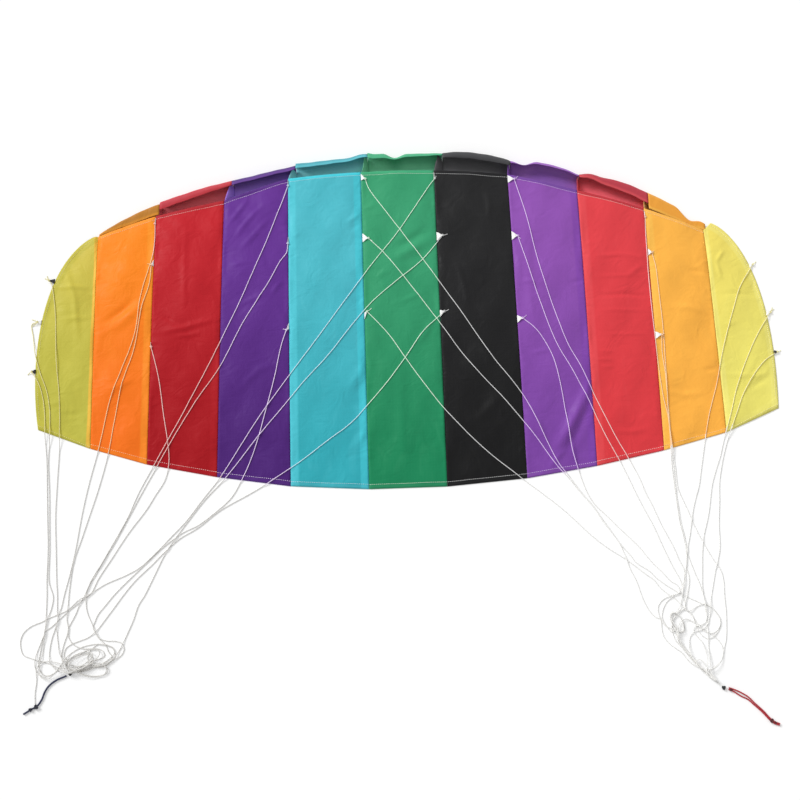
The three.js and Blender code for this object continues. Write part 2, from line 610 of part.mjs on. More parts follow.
/** Where a bridle line is tied to its tab, on plan. */
function tie(edge, row) {
  const y = TABS.find((tabs) => tabs.edge === edge).rows['ABC'.indexOf(row)];
  const tip = TIPS.find((each) => each.edge === edge);
  if (tip) {
    const [x] = tipPoint(tip, tipShareAt(tip, y));
    return [x + tip.side * TAB.reach * 0.5, y];
  }
  const seam = SEAMS[edge - 1];
  const behind = y - TAB.length / 2 - TAB.step - LINE.seat;
  const share = (behind - seam.rear[1]) / (seam.front[1] - seam.rear[1]);
  return [seamPoint(seam, share)[0], behind];
}

// ---- The canopy -----------------------------------------------------------------------------

const two = (number) => String(number).padStart(2, '0');

CELL_COLOURS.forEach((colour, i) => {
  const tip = TIPS.find((each) => (each.side < 0 ? i === 0 : i === CELL_COLOURS.length - 1));
  const edge = i === 0 ? 0 : CELL_COLOURS.length;
  const lower = tip ? tipPanel(tip, edge, true) : lowerPanel(SEAMS[i - 1], SEAMS[i]);
  const upper = tip ? tipPanel(tip, edge, false) : upperPanel(i - 1);
  piece(`Lower_Panel_${two(i + 1)}`, lower, colour);
  piece(`Upper_Panel_${two(i + 1)}`, upper, colour);
});

SEAMS.forEach((_, i) => piece(`Rib_${two(i + 1)}`, rib(i), CELL_COLOURS[i + 1]));

// ---- The bridle -----------------------------------------------------------------------------

for (const hank of HANKS) {
  const smooth = new THREE.SplineCurve(
    [...hank.outline, hank.outline[0]].map(([x, y]) => new THREE.Vector2(x, y)),
  );
  const outline = smooth.getPoints(2 * hank.outline.length).slice(0, -1);
  const depth = HANK_HEIGHT;
  const solid = new THREE.ExtrudeGeometry(new THREE.Shape(outline), { depth, bevelEnabled: false });
  piece(hank.name, solid, CORD_COLOURS.line, 0.9);

  for (const line of LINES.filter((row) => row.side === hank.side)) {
    const points = [tie(line.edge, line.row), ...line.via];
    const plan = clearStretch(points, outline, LINE.seat, LINE.step);
    const name = `Bridle_Line_${two(line.edge)}_${line.row}`;
    piece(name, tube(lay(plan), LINE.diameter, LINE.sides), CORD_COLOURS.line, 0.9);
  }

  const tow = clearStretch(hank.tow, outline, LOOP.seat, LOOP.step);
  const path = tow.map((p) => new THREE.Vector3(p.x, p.y, LOOP.diameter / 2 + GAP));
  piece(hank.loop, tube(path, LOOP.diameter, LOOP.sides), hank.colour, 0.8);
}

export default kite;
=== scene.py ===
"""Two-line foil kite laid on its back, with its bridle lines and tow loops.

Plans and tables are in the kite's own millimetres, as a maker would draw them: x along the span
to the right, y towards the leading edge, z up from the floor. Meshes are in metres in the frame.
Seams and open cells are counted from the left, from 0. Across a cell, s runs from its left seam
to its right one; t runs along its chord from the trailing edge to the mouth.
"""
import logging
import math
from collections.abc import Callable
from dataclasses import dataclass, field
from enum import Enum

import bmesh
import bpy
import numpy as np
from mathutils import Matrix, Vector


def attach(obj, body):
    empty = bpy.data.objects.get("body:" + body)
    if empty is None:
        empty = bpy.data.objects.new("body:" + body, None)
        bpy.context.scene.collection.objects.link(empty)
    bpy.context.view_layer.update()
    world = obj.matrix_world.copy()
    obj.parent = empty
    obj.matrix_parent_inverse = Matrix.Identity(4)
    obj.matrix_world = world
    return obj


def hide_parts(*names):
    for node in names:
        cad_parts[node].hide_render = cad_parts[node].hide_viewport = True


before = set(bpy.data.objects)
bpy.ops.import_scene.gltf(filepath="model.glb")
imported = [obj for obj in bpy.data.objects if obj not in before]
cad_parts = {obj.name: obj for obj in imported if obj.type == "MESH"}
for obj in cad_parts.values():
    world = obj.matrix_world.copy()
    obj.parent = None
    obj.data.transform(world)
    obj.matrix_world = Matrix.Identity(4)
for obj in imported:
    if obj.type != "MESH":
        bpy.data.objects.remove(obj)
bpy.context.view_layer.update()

LOG = logging.getLogger("kite")
MM = 0.001
SHIFT = np.array([2.0, -6.0, 0.0])  # from the kite's own plan to the frame, in millimetres
BODY = "root"
LEAST_GAP = 0.5  # the least spacing that a smooth curve counts between two of its points
FINE_STEP = 0.6  # the spacing at which a smooth curve is drawn before it is cut in even steps

Array = np.ndarray
Plan = tuple[float, float]
Reals = float | Array
Fields = dict[str, Array]
Laid = tuple[Array, Fields]
Material = bpy.types.Material
Piece = bpy.types.Object
Socket = bpy.types.NodeSocket
Value = Socket | float | tuple[float, ...]


# ---- Named choices ----------------------------------------------------------------------------


class Hand(Enum):
    """The side of the kite that a line gathers to."""

    LEFT = "left"
    RIGHT = "right"


class Side(Enum):
    """The attribute that holds how far a point of a panel is from one of its edges, in metres."""

    LEFT = "from_left"
    RIGHT = "from_right"
    REAR = "from_rear"
    FRONT = "from_front"


# ---- Tables of the canopy ---------------------------------------------------------------------


@dataclass(frozen=True)
class Seam:
    """One seam of the lower skin and the rib that hangs from it."""

    front: Plan
    rear: Plan
    rise: float  # height of the arch of its chord, and its height at the mouth
    mouth: float
    lean: float  # how far the rib's foot lies to the right of the seam
    fall: float = 1.2  # how late the rib's top falls ahead of the mouth

    @property
    def chord(self) -> float:
        """How far the seam runs from the trailing edge to the mouth."""
        return self.front[1] - self.rear[1]


@dataclass(frozen=True)
class Nose:
    """The leading edge of one open cell, and how deep the upper skin wraps back over it."""

    left: float
    middle: float
    right: float
    wrap_left: float
    wrap_right: float
    wrap_swell: float = 0.0  # how much deeper the wrap is in the middle

    def outline(self, s: Reals) -> Reals:
        """How far forward the nose reaches at a share s across the cell, without its dents."""
        swell = self.middle - (self.left + self.right) / 2
        return lerp(self.left, self.right, s) + 4 * swell * s * (1 - s)

    def wrap(self, s: Reals) -> Reals:
        """How deep the upper skin wraps back over at a share s across the cell."""
        return lerp(self.wrap_left, self.wrap_right, s) + 4 * self.wrap_swell * s * (1 - s)


@dataclass(frozen=True)
class Dent:
    """A crease that draws the nose in."""

    x: float
    depth: float
    half: float


@dataclass(frozen=True)
class Tip:
    """A rounded tip: a quarter of a superellipse beyond its seam."""

    edge: int
    seam: int
    side: int
    width: float
    length: float
    rear: Plan
    power: float  # the two powers of its outline
    root: float
    bow: float  # how much fuller it is near its rear


@dataclass(frozen=True)
class Crease:
    """A fold of the lower skin along a few plan points: a ridge, or a trough if it is negative."""

    height: float
    width: float
    points: tuple[Plan, ...]


SEAMS = (
    Seam((-567, 181), (-571, -221), 9, 4, 6),
    Seam((-458, 213), (-470, -253), 20, 16, 10),
    Seam((-331, 238), (-346, -280), 24, 21, 18),
    Seam((-212, 277), (-216, -301), 25, 23, 16),
    Seam((-76, 285), (-78, -311), 25, 24, 14, 0.6),
    Seam((60, 284), (60, -311), 25, 24, 19),
    Seam((197, 272), (202, -301), 25, 23, 8),
    Seam((325, 236), (327, -283), 24, 21, 8),
    Seam((447, 198), (448, -259), 20, 16, 14, 3.5),
    Seam((557, 155), (562, -230), 9, 4, 8),
)

NOSES = (
    Nose(187, 219, 241, 4, 24, 4.5),
    Nose(244, 266, 282, 18, 13, 2),
    Nose(282, 295, 308, 13, 12),
    Nose(312, 317, 324, 14, 11),
    Nose(327, 325, 323, 15, 8),
    Nose(324, 322, 304, 14, 15, 3),
    Nose(304, 297, 271, 8, 7, 1),
    Nose(271, 260, 232, 9, 24, 4),
    Nose(232, 204, 169, 34, 14, 5),
)

DENTS = (Dent(-74, -4, 24), Dent(-11, 9, 24), Dent(229, 9.5, 28), Dent(352, -3.5, 24), Dent(532, 13, 26))

TIPS = (
    Tip(0, 0, -1, 100.5, 367, (-665.5, -183), 4, 1.6, 9.5),
    Tip(11, 9, 1, 97.5, 362, (660, -189), 3.3, 1.7, 4),
)

CREASES = tuple(Crease(*row) for row in (
    # left yellow
    (0.9, 5, ((-640, 84), (-610, 83), (-578, 80))),
    (0.8, 5, ((-628, 22), (-600, 23), (-578, 21))),
    (0.8, 4, ((-655, -134), (-640, -136), (-625, -135))),
    (-0.8, 5, ((-622, -156), (-607, -158), (-592, -156))),
    (0.9, 7, ((-625, 120), (-606, 60), (-598, -20))),
    # left orange
    (1.7, 14, ((-548, -8), (-523, 6), (-500, 25), (-475, 50))),
    (-1.2, 9, ((-550, 12), (-520, 28), (-492, 52))),
    (0.8, 9, ((-545, -120), (-515, -105), (-488, -96))),
    # left red
    (1.2, 7, ((-448, -12), (-410, -8), (-378, 0), (-345, 8))),
    (0.8, 5, ((-420, -22), (-398, -21), (-375, -18))),
    (-0.8, 5, ((-445, 18), (-430, 11), (-418, 2))),
    (0.5, 6, ((-402, 190), (-403, 110), (-404, 20))),
    (0.7, 8, ((-430, -120), (-400, -140), (-365, -150))),
    # left purple
    (0.9, 6, ((-322, 190), (-302, 216), (-285, 240))),
    (0.9, 6, ((-312, 160), (-288, 194), (-258, 225))),
    (0.8, 6, ((-300, 140), (-272, 170), (-250, 195))),
    (0.7, 6, ((-300, 35), (-276, 44), (-255, 55))),
    (0.7, 5, ((-245, 50), (-236, 64), (-225, 75))),
    (0.5, 4, ((-320, 108), (-295, 112))),
    (0.8, 8, ((-300, -120), (-270, -90), (-240, -80))),
    # turquoise
    (1.0, 5, ((-105, 185), (-94, 191), (-82, 200))),
    (-0.8, 5, ((-100, 172), (-82, 180))),
    (0.5, 4, ((-205, 160), (-190, 168))),
    (1.3, 12, ((-110, -130), (-92, -110), (-75, -85))),
    (0.9, 8, ((-98, -235), (-88, -218), (-78, -200))),
    # green
    (1.6, 12, ((-20, 110), (15, 128), (55, 150))),
    (-1.0, 9, ((-25, 128), (10, 146), (45, 166))),
    (0.7, 6, ((-75, 212), (-62, 214), (-50, 218))),
    (0.7, 6, ((-55, 75), (-30, 90))),
    (0.7, 6, ((-20, 25), (5, 34), (30, 45))),
    (0.9, 7, ((45, -10), (34, -28), (20, -50))),
    (0.9, 12, ((-15, -100), (-17, -180), (-14, -260))),
    # black
    (0.9, 7, ((155, 240), (160, 212), (158, 180))),
    (0.7, 5, ((135, 55), (142, 70))),
    (1.0, 7, ((130, -60), (141, -74), (150, -90))),
    (1.1, 12, ((115, -195), (138, -176), (160, -150))),
    (0.7, 5, ((205, -235), (190, -260))),
    (0.7, 6, ((90, 110), (105, 60), (112, 20))),
    # right purple
    (0.8, 5, ((212, 60), (226, 60), (240, 56))),
    (0.7, 10, ((225, 160), (226, 60), (224, -20))),
    (-0.7, 5, ((300, 55), (330, 58))),
    (0.6, 4, ((318, -85), (330, -75))),
    (2.6, 12, ((255, -255), (282, -212), (308, -165), (330, -125))),
    (-1.2, 10, ((270, -262), (298, -215), (322, -172))),
    (0.7, 5, ((222, -75), (255, -70))),
    (0.9, 7, ((205, -180), (228, -205), (240, -240))),
    (0.8, 6, ((240, -285), (262, -262), (275, -250))),
    # right red
    (-0.9, 5, ((350, 28), (395, 30), (440, 25))),
    (0.7, 5, ((345, 104), (395, 106), (440, 98))),
    (0.8, 6, ((435, 85), (420, 74), (405, 65))),
    (0.5, 4, ((348, 65), (435, 66))),
    (0.5, 4, ((348, 0), (436, -2))),
    (0.5, 4, ((350, -45), (436, -46))),
    (0.6, 4, ((345, -75), (370, -78))),
    (0.6, 4, ((345, -90), (368, -93))),
    (0.6, 4, ((345, -104), (366, -106))),
    (0.8, 6, ((365, -222), (392, -224), (420, -220))),
    # right orange
    (0.8, 8, ((480, 5), (512, 2), (545, -5))),
    (-0.8, 6, ((520, 75), (548, 70))),
    (-0.8, 6, ((530, -115), (555, -115))),
    (0.8, 7, ((462, -150), (490, -160), (520, -158))),
    # right yellow
    (0.8, 5, ((573, 90), (590, 115))),
    (0.8, 5, ((573, 90), (580, 60))),
    (-0.8, 5, ((575, 28), (606, 29), (640, 25))),
    (0.7, 5, ((575, -30), (600, -28))),
    (0.9, 5, ((565, -122), (615, -128), (640, -126), (652, -110))),
    (-0.8, 6, ((610, -150), (650, -130))),
))


# ---- Small helpers ----------------------------------------------------------------------------


def lerp(a: Reals, b: Reals, share: Reals) -> Reals:
    """The value this share of the way from a to b, for numbers and arrays alike."""
    return a + (b - a) * share


def smooth(share: Reals) -> Reals:
    """An S-curve from 0 to 1, flat at both ends."""
    share = np.clip(share, 0, 1)
    return share * share * (3 - 2 * share)


def to_frame(points: Array) -> Array:
    """Turns the kite's own millimetres into metres in the frame."""
    return (np.asarray(points, float) + SHIFT) * MM


def linear(code: str) -> tuple[float, ...]:
    """Turns a colour code such as "ff912d" into linear light, with a full alpha."""
    parts = (int(code[i : i + 2], 16) / 255 for i in (0, 2, 4))
    return *(c / 12.92 if c <= 0.04045 else ((c + 0.055) / 1.055) ** 2.4 for c in parts), 1.0


def along_of(points: Array) -> Array:
    """Distance along a polyline up to each of its points."""
    steps = np.linalg.norm(np.diff(points, axis=0), axis=1)
    return np.concatenate([[0.0], np.cumsum(steps)])


def between(a: Array, b: Array, low: float, high: float, at: Array) -> Array:
    """The points that the even way from a, at low, to b, at high, has reached by now."""
    return ((high - at) * a + (at - low) * b) / (high - low)


def rounded(points: Array, step: float) -> Array:
    """A smooth curve through the points, in even steps.

    Args:
        points: the points that the curve passes, in order.
        step: length of a step.

    Returns:
        The points of the curve.
    """
    points = np.asarray(points, float)
    p = np.array([2 * points[0] - points[1], *points, 2 * points[-1] - points[-2]])
    gaps = np.maximum(np.linalg.norm(np.diff(p, axis=0), axis=1), LEAST_GAP)
    t = np.concatenate([[0.0], np.cumsum(gaps**0.5)])
    pieces = []
    for i in range(1, len(p) - 2):
        count = max(3, int(np.linalg.norm(p[i + 1] - p[i]) / FINE_STEP))
        at = np.linspace(t[i], t[i + 1], count, endpoint=False)[:, None]
        before = between(p[i - 1], p[i], t[i - 1], t[i], at)
        here = between(p[i], p[i + 1], t[i], t[i + 1], at)
        after = between(p[i + 1], p[i + 2], t[i + 1], t[i + 2], at)
        first = between(before, here, t[i - 1], t[i + 1], at)
        second = between(here, after, t[i], t[i + 2], at)
        pieces.append(between(first, second, t[i], t[i + 1], at))
    line = np.concatenate([*pieces, p[-2:-1]])
    along = along_of(line)
    at = np.linspace(0, along[-1], max(2, round(along[-1] / step) + 1))
    return np.stack([np.interp(at, along, line[:, k]) for k in range(line.shape[1])], axis=1)


def shown(piece: Piece) -> Piece:
    """Puts an object in the scene, and gives it back."""
    bpy.context.scene.collection.objects.link(piece)
    return piece


def mesh_of(net: bmesh.types.BMesh, name: str, material: Material, shaded: bool = True) -> bpy.types.Mesh:
    """Turns a bmesh into a mesh of one material.

    Args:
        net: the bmesh, which is freed.
        name: the mesh's name.
        material: its material.
        shaded: whether its faces are shaded smooth.

    Returns:
        The mesh.
    """
    mesh = bpy.data.meshes.new(name)
    net.to_mesh(mesh)
    net.free()
    mesh.polygons.foreach_set("use_smooth", np.full(len(mesh.polygons), shaded))
    mesh.materials.append(material)
    return mesh


def publish(piece: Piece, nodes: tuple[str, ...] = ()) -> Piece:
    """Shows a finished piece, lets it ride on the kite's body and reports it.

    Args:
        piece: the object, with its place in its mesh.
        nodes: the CAD nodes that the piece stands for.

    Returns:
        The piece.
    """
    if piece.name not in bpy.context.scene.collection.objects:
        shown(piece)
    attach(piece, BODY)
    if nodes:
        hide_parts(*nodes)
    LOG.info("%s made%s", piece.name, f", for {', '.join(nodes)}" if nodes else "")
    return piece


# ---- The shape of the canopy ------------------------------------------------------------------


@dataclass(frozen=True)
class Canopy:
    """The surfaces of both skins, as functions of the plan; all in the kite's millimetres."""

    edge_top: float = 2.3  # top of the lower skin at its outer edges
    crown: float = 3.0  # bulge of a cell between its ribs
    solid: float = 1.0  # a skin of the CAD, under a rib
    gap: float = 0.3  # room between a rib and a skin in the CAD
    mouth_power: int = 6  # how late the chord turns to its height at the mouth
    sweep: float = 0.46 * math.pi  # how far a tip's edge runs round its quarter
    ease: float = 0.83  # evens out the steps along it
    bow_scale: float = 6.75  # brings the peak of a tip's bow to 1
    lip_share: float = 0.6  # how much of a dent the edge of the wrap follows
    edge_drop: float = 1.3  # how far the outer hems sink
    drop_reach: float = 7.0
    tuck: float = 0.45  # how deep a seam draws the cloth in
    tuck_reach: float = 2.0
    slack: float = 1.9  # scale of the folds and waves
    calm_side: float = 9.0  # the folds fade this near a seam
    calm_rear: float = 10.0
    calm_mouth: float = 12.0
    mouth_slack: float = 4.0
    fold_fade: float = 0.03  # share of a fold that its ends skip
    fold_round: float = 0.7  # how fast a fold rises from its ends
    fold_trough: float = 0.7  # depth of the trough beside a fold
    gather: float = 0.5  # height of the gathers at a seam
    gather_reach: float = 8.0
    gather_start: float = 2.5
    hem_gather: float = 0.8  # share of them at the trailing edge, and at the mouth
    mouth_gather: float = 0.6
    tip_drop: float = 0.8  # how much less a tip's front end sinks
    tip_drop_at: float = 0.75
    least: float = 0.9  # least height of a tip's top
    rounds: int = 5  # rounds of the search for the cell under a point

    def seam_point(self, i: int, t: Reals) -> tuple[Reals, Reals]:
        """Plan position of seam i of the lower skin at a share t of its chord."""
        seam = SEAMS[i]
        return lerp(seam.rear[0], seam.front[0], t), lerp(seam.rear[1], seam.front[1], t)

    def chord_rise(self, rise: Reals, mouth: Reals, t: Reals) -> Reals:
        """Height of the lower skin at a share t of the chord."""
        t = np.clip(t, 0, 1)
        return self.edge_top + rise * np.sin(t * math.pi / 2) + (mouth - rise) * t**self.mouth_power

    def cell_top(self, c: int, s: Reals, t: Reals) -> Reals:
        """Gives the height of the lower skin of an open cell, without its folds.

        Args:
            c: number of the open cell.
            s: share across it.
            t: share of its chord.

        Returns:
            The height.
        """
        left, right = SEAMS[c], SEAMS[c + 1]
        rise, mouth = lerp(left.rise, right.rise, s), lerp(left.mouth, right.mouth, s)
        bulge = self.crown * 4 * s * (1 - s) * np.sin(np.clip(t, 0, 1) * math.pi / 2)
        return self.chord_rise(rise, mouth, t) + bulge

    def rib_slope(self, i: int) -> float:
        """How far rib i shifts to the right for each millimetre that it goes down."""
        seam = SEAMS[i]
        return seam.lean / (self.edge_top + seam.rise - self.solid - self.gap)

    def curl_radius(self, i: int) -> float:
        """Radius of the upper skin's curl at the nose of seam i."""
        return (self.edge_top + SEAMS[i].mouth) / 2

    def dent(self, x: Reals) -> Reals:
        """How far the creases draw the nose in at x."""
        near = [(row.depth, np.minimum(np.abs(x - row.x) / row.half, 1)) for row in DENTS]
        return sum(depth * (1 - share) ** 2 * (1 + 2 * share) for depth, share in near)

    def nose_x(self, i: int) -> float:
        """Where the upper skin's seam i reaches the nose."""
        seam = SEAMS[i]
        return seam.front[0] + self.rib_slope(i) * (self.edge_top + seam.mouth - self.solid - self.gap)

    def nose_y(self, c: int, s: Reals) -> Reals:
        """How far forward the nose of open cell c reaches at a share s across it."""
        return NOSES[c].outline(s) - self.dent(lerp(self.nose_x(c), self.nose_x(c + 1), s))

    def wrap_depth(self, c: int, s: Reals) -> Reals:
        """How deep the upper skin of open cell c wraps back over at a share s across it."""
        dent = self.dent(lerp(self.nose_x(c), self.nose_x(c + 1), s))
        return NOSES[c].wrap(s) - self.lip_share * np.maximum(dent, 0)

    def upper_seam_x(self, i: int, y: Reals) -> Reals:
        """The upper skin's seam i at y: straight from the trailing edge to the nose."""
        (x, rear), beside = SEAMS[i].rear, NOSES[max(i - 1, 0) : i + 1]
        return lerp(x, self.nose_x(i), (y - rear) / (max(max(n.left, n.right) for n in beside) - rear))

    def tip_reach(self, tip: Tip, y: Reals) -> Reals:
        """How far a tip reaches beyond its seam at y."""
        share, bow = np.clip((y - tip.rear[1]) / tip.length, 0, 1), tip.bow * self.bow_scale
        return tip.width * (1 - share**tip.power) ** (1 / tip.root) + bow * share * (1 - share) ** 2

    def tip_point(self, tip: Tip, v: Reals) -> tuple[Reals, Reals]:
        """Plan position on a tip's edge, from the rear corner (v = 0) to the front end (v = 1)."""
        y = tip.rear[1] + tip.length * np.sin(v * self.sweep) ** self.ease
        return tip.rear[0] - tip.side * (tip.width - self.tip_reach(tip, y)), y

    def tip_share(self, tip: Tip, y: float) -> float:
        """Share along a tip's edge at which it reaches y."""
        return math.asin(((y - tip.rear[1]) / tip.length) ** (1 / self.ease)) / self.sweep

    def tip_top(self, tip: Tip, x: Reals, y: Reals) -> Reals:
        """Gives the height of the lower skin over a tip, without its folds.

        Args:
            tip: which tip.
            x: place along the span.
            y: place along the chord.

        Returns:
            The height.
        """
        seam = SEAMS[tip.seam]
        middle = self.seam_point(tip.seam, 0.5)[0]
        share = np.clip(tip.side * (x - middle) / np.maximum(self.tip_reach(tip, y), 1), 0, 1)
        top = self.chord_rise(seam.rise, seam.mouth, (y - seam.rear[1]) / seam.chord)
        return self.edge_top + (top - self.edge_top) * (1 - share**2)

    def rear_y(self, x: Reals) -> Reals:
        """The trailing edge's y at x."""
        corners = [TIPS[0].rear, *(seam.rear for seam in SEAMS), TIPS[1].rear]
        return np.interp(x, [p[0] for p in corners], [p[1] for p in corners])

    def relief(self, x: Reals, y: Reals) -> Reals:
        """Gives the folds and the slow waves of the lower skin over its even shape.

        Args:
            x: place along the span.
            y: place along the chord.

        Returns:
            Their height.
        """
        waves = (  # each a height times a sine of the place over a length
            0.42 * np.sin(x / 19 + y / 41 + 1.3)
            + 0.34 * np.sin(x / 11.5 - y / 27 + 0.4)
            + 0.38 * np.sin(y / 15.5 + 0.9 * np.sin(x / 33) + 2.1)
            + 0.22 * np.sin(x / 7.4 + y / 8.8) * np.sin(y / 46)
        )
        total = 0.0 * x + waves
        for crease in CREASES:
            total = total + self.crease_height(crease, x, y)
        return self.slack * total

    def crease_height(self, crease: Crease, x: Reals, y: Reals) -> Reals:
        """Gives one fold: a ridge that fades at both ends, with a faint trough along it.

        Args:
            crease: which fold.
            x: place along the span.
            y: place along the chord.

        Returns:
            Its height.
        """
        points = np.array(crease.points, float)
        spread = 3 * crease.width
        low, high = points.min(0) - spread, points.max(0) + spread
        near = (x > low[0]) & (x < high[0]) & (y > low[1]) & (y < high[1])
        if not np.any(near):
            return 0.0
        px, py = np.atleast_1d(x)[np.atleast_1d(near)], np.atleast_1d(y)[np.atleast_1d(near)]
        along = along_of(points)
        best, at = np.full(px.shape, np.inf), np.zeros(px.shape)
        for a, b, start in zip(points[:-1], points[1:], along[:-1], strict=True):
            d = b - a
            share = np.clip(((px - a[0]) * d[0] + (py - a[1]) * d[1]) / (d @ d), 0, 1)
            off = np.hypot(px - a[0] - share * d[0], py - a[1] - share * d[1])
            at = np.where(off < best, start + share * np.linalg.norm(d), at)
            best = np.minimum(best, off)
        place = np.clip(at / along[-1], self.fold_fade, 1 - self.fold_fade)
        q = (best / crease.width) ** 2
        ridge = crease.height * np.sin(math.pi * place) ** self.fold_round
        result = np.zeros(np.shape(x))
        result[near] = ridge * (1 - self.fold_trough * q) * np.exp(-q)
        return result

    def pucker(self, along: Reals, off: Reals, seed: float) -> Reals:
        """Gives the small gathers beside a seam or hem, which fade as they leave it.

        Args:
            along: place along the seam.
            off: distance from it.
            seed: what sets this seam's gathers apart.

        Returns:
            Their height.
        """
        wave = 0.6 * np.sin(along / 2.3 + seed) + 0.4 * np.sin(along / 1.43 + 2.1 * seed)
        patch = 0.55 + 0.45 * np.sin(along / 17 + 1.7 * seed)
        fade = np.exp(-((off / self.gather_reach) ** 2))
        return self.gather * wave * patch * fade * smooth(off / self.gather_start)

    def lower_cell(self, c: int, s: Reals, t: Reals) -> Array:
        """Gives points on top of the lower skin of an open cell, with folds, gathers and hems.

        Args:
            c: number of the open cell.
            s: share across it.
            t: share of its chord.

        Returns:
            The points.
        """
        (ax, ay), (bx, by) = self.seam_point(c, t), self.seam_point(c + 1, t)
        x, y = lerp(ax, bx, s), lerp(ay, by, s)
        width, chord = bx - ax, lerp(SEAMS[c].chord, SEAMS[c + 1].chord, s)
        left, right, rear, front = s * width, (1 - s) * width, t * chord, (1 - t) * chord
        side = np.minimum(left, right)
        calm = smooth(side / self.calm_side) * smooth(rear / self.calm_rear)
        calm = calm * smooth((front + self.mouth_slack) / self.calm_mouth)
        z = self.cell_top(c, s, t) + self.relief(x, y) * calm
        z = z - self.tuck * np.exp(-((side / self.tuck_reach) ** 2))
        z = z - self.edge_drop * np.exp(-rear / self.drop_reach)
        z = z + self.pucker(y, left, 1.1 + c) + self.pucker(y, right, 4.2 + c)
        hems = self.hem_gather * self.pucker(x, rear, 2.6 + c)
        z = z + hems + self.mouth_gather * self.pucker(x, front, 5.1 + c)
        return np.stack([x, y, z], axis=-1)

    def lower_tip(self, tip: Tip, outward: Reals, v: Reals) -> Array:
        """Gives points on top of a tip's lower skin.

        Args:
            tip: which tip.
            outward: share of the way from its seam to its edge.
            v: share along that edge.

        Returns:
            The points.
        """
        (ax, ay), (bx, by) = self.seam_point(tip.seam, v), self.tip_point(tip, v)
        x, y = lerp(ax, bx, outward), lerp(ay, by, outward)
        reach = np.hypot(bx - ax, by - ay)
        seam_off, edge_off, rear = outward * reach, (1 - outward) * reach, v * tip.length
        calm = smooth(np.minimum(seam_off, edge_off) / self.calm_side) * smooth(rear / self.calm_rear)
        z = self.tip_top(tip, x, y) + self.relief(x, y) * calm
        z = z - self.tuck * np.exp(-((seam_off / self.tuck_reach) ** 2))
        drop = self.edge_drop * (1 - self.tip_drop * smooth((v - self.tip_drop_at) / 0.2))
        z = z - drop * np.exp(-np.minimum(edge_off, rear) / self.drop_reach)
        z = z + self.pucker(y, seam_off, 3.3 + tip.edge) + self.pucker(y, edge_off, 0.7 + tip.edge)
        return np.stack([x, y, np.maximum(z, self.least)], axis=-1)

    def ground(self, x: Array, y: Array) -> Array:
        """Gives what a line lies on: the lower skin, or the floor.

        Args:
            x: places along the span.
            y: places along the chord.

        Returns:
            Heights of the top of what lies there.
        """
        z = np.zeros(len(x))
        for tip in TIPS:
            seam = SEAMS[tip.seam]
            ax = np.interp(y, [seam.rear[1], seam.front[1]], [seam.rear[0], seam.front[0]])
            beyond = tip.side * (x - ax)
            on = (beyond >= 0) & (beyond <= self.tip_reach(tip, y)) & (y >= self.rear_y(x))
            z = np.where(on, self.tip_top(tip, x, y) + np.maximum(self.relief(x, y), 0), z)
        for c in range(len(NOSES)):
            left, right = SEAMS[c], SEAMS[c + 1]
            s, t = np.full(len(x), 0.5), np.full(len(x), 0.5)
            for _ in range(self.rounds):
                (ax, _), (bx, _) = self.seam_point(c, t), self.seam_point(c + 1, t)
                s = (x - ax) / (bx - ax)
                low = lerp(left.rear[1], right.rear[1], s)
                t = (y - low) / (lerp(left.front[1], right.front[1], s) - low)
            on = (s >= 0) & (s <= 1) & (t >= 0) & (t <= 1)
            if np.any(on):
                z[on] = self.lower_cell(c, s[on], t[on])[:, 2]
        return z


# ---- Finishes ---------------------------------------------------------------------------------


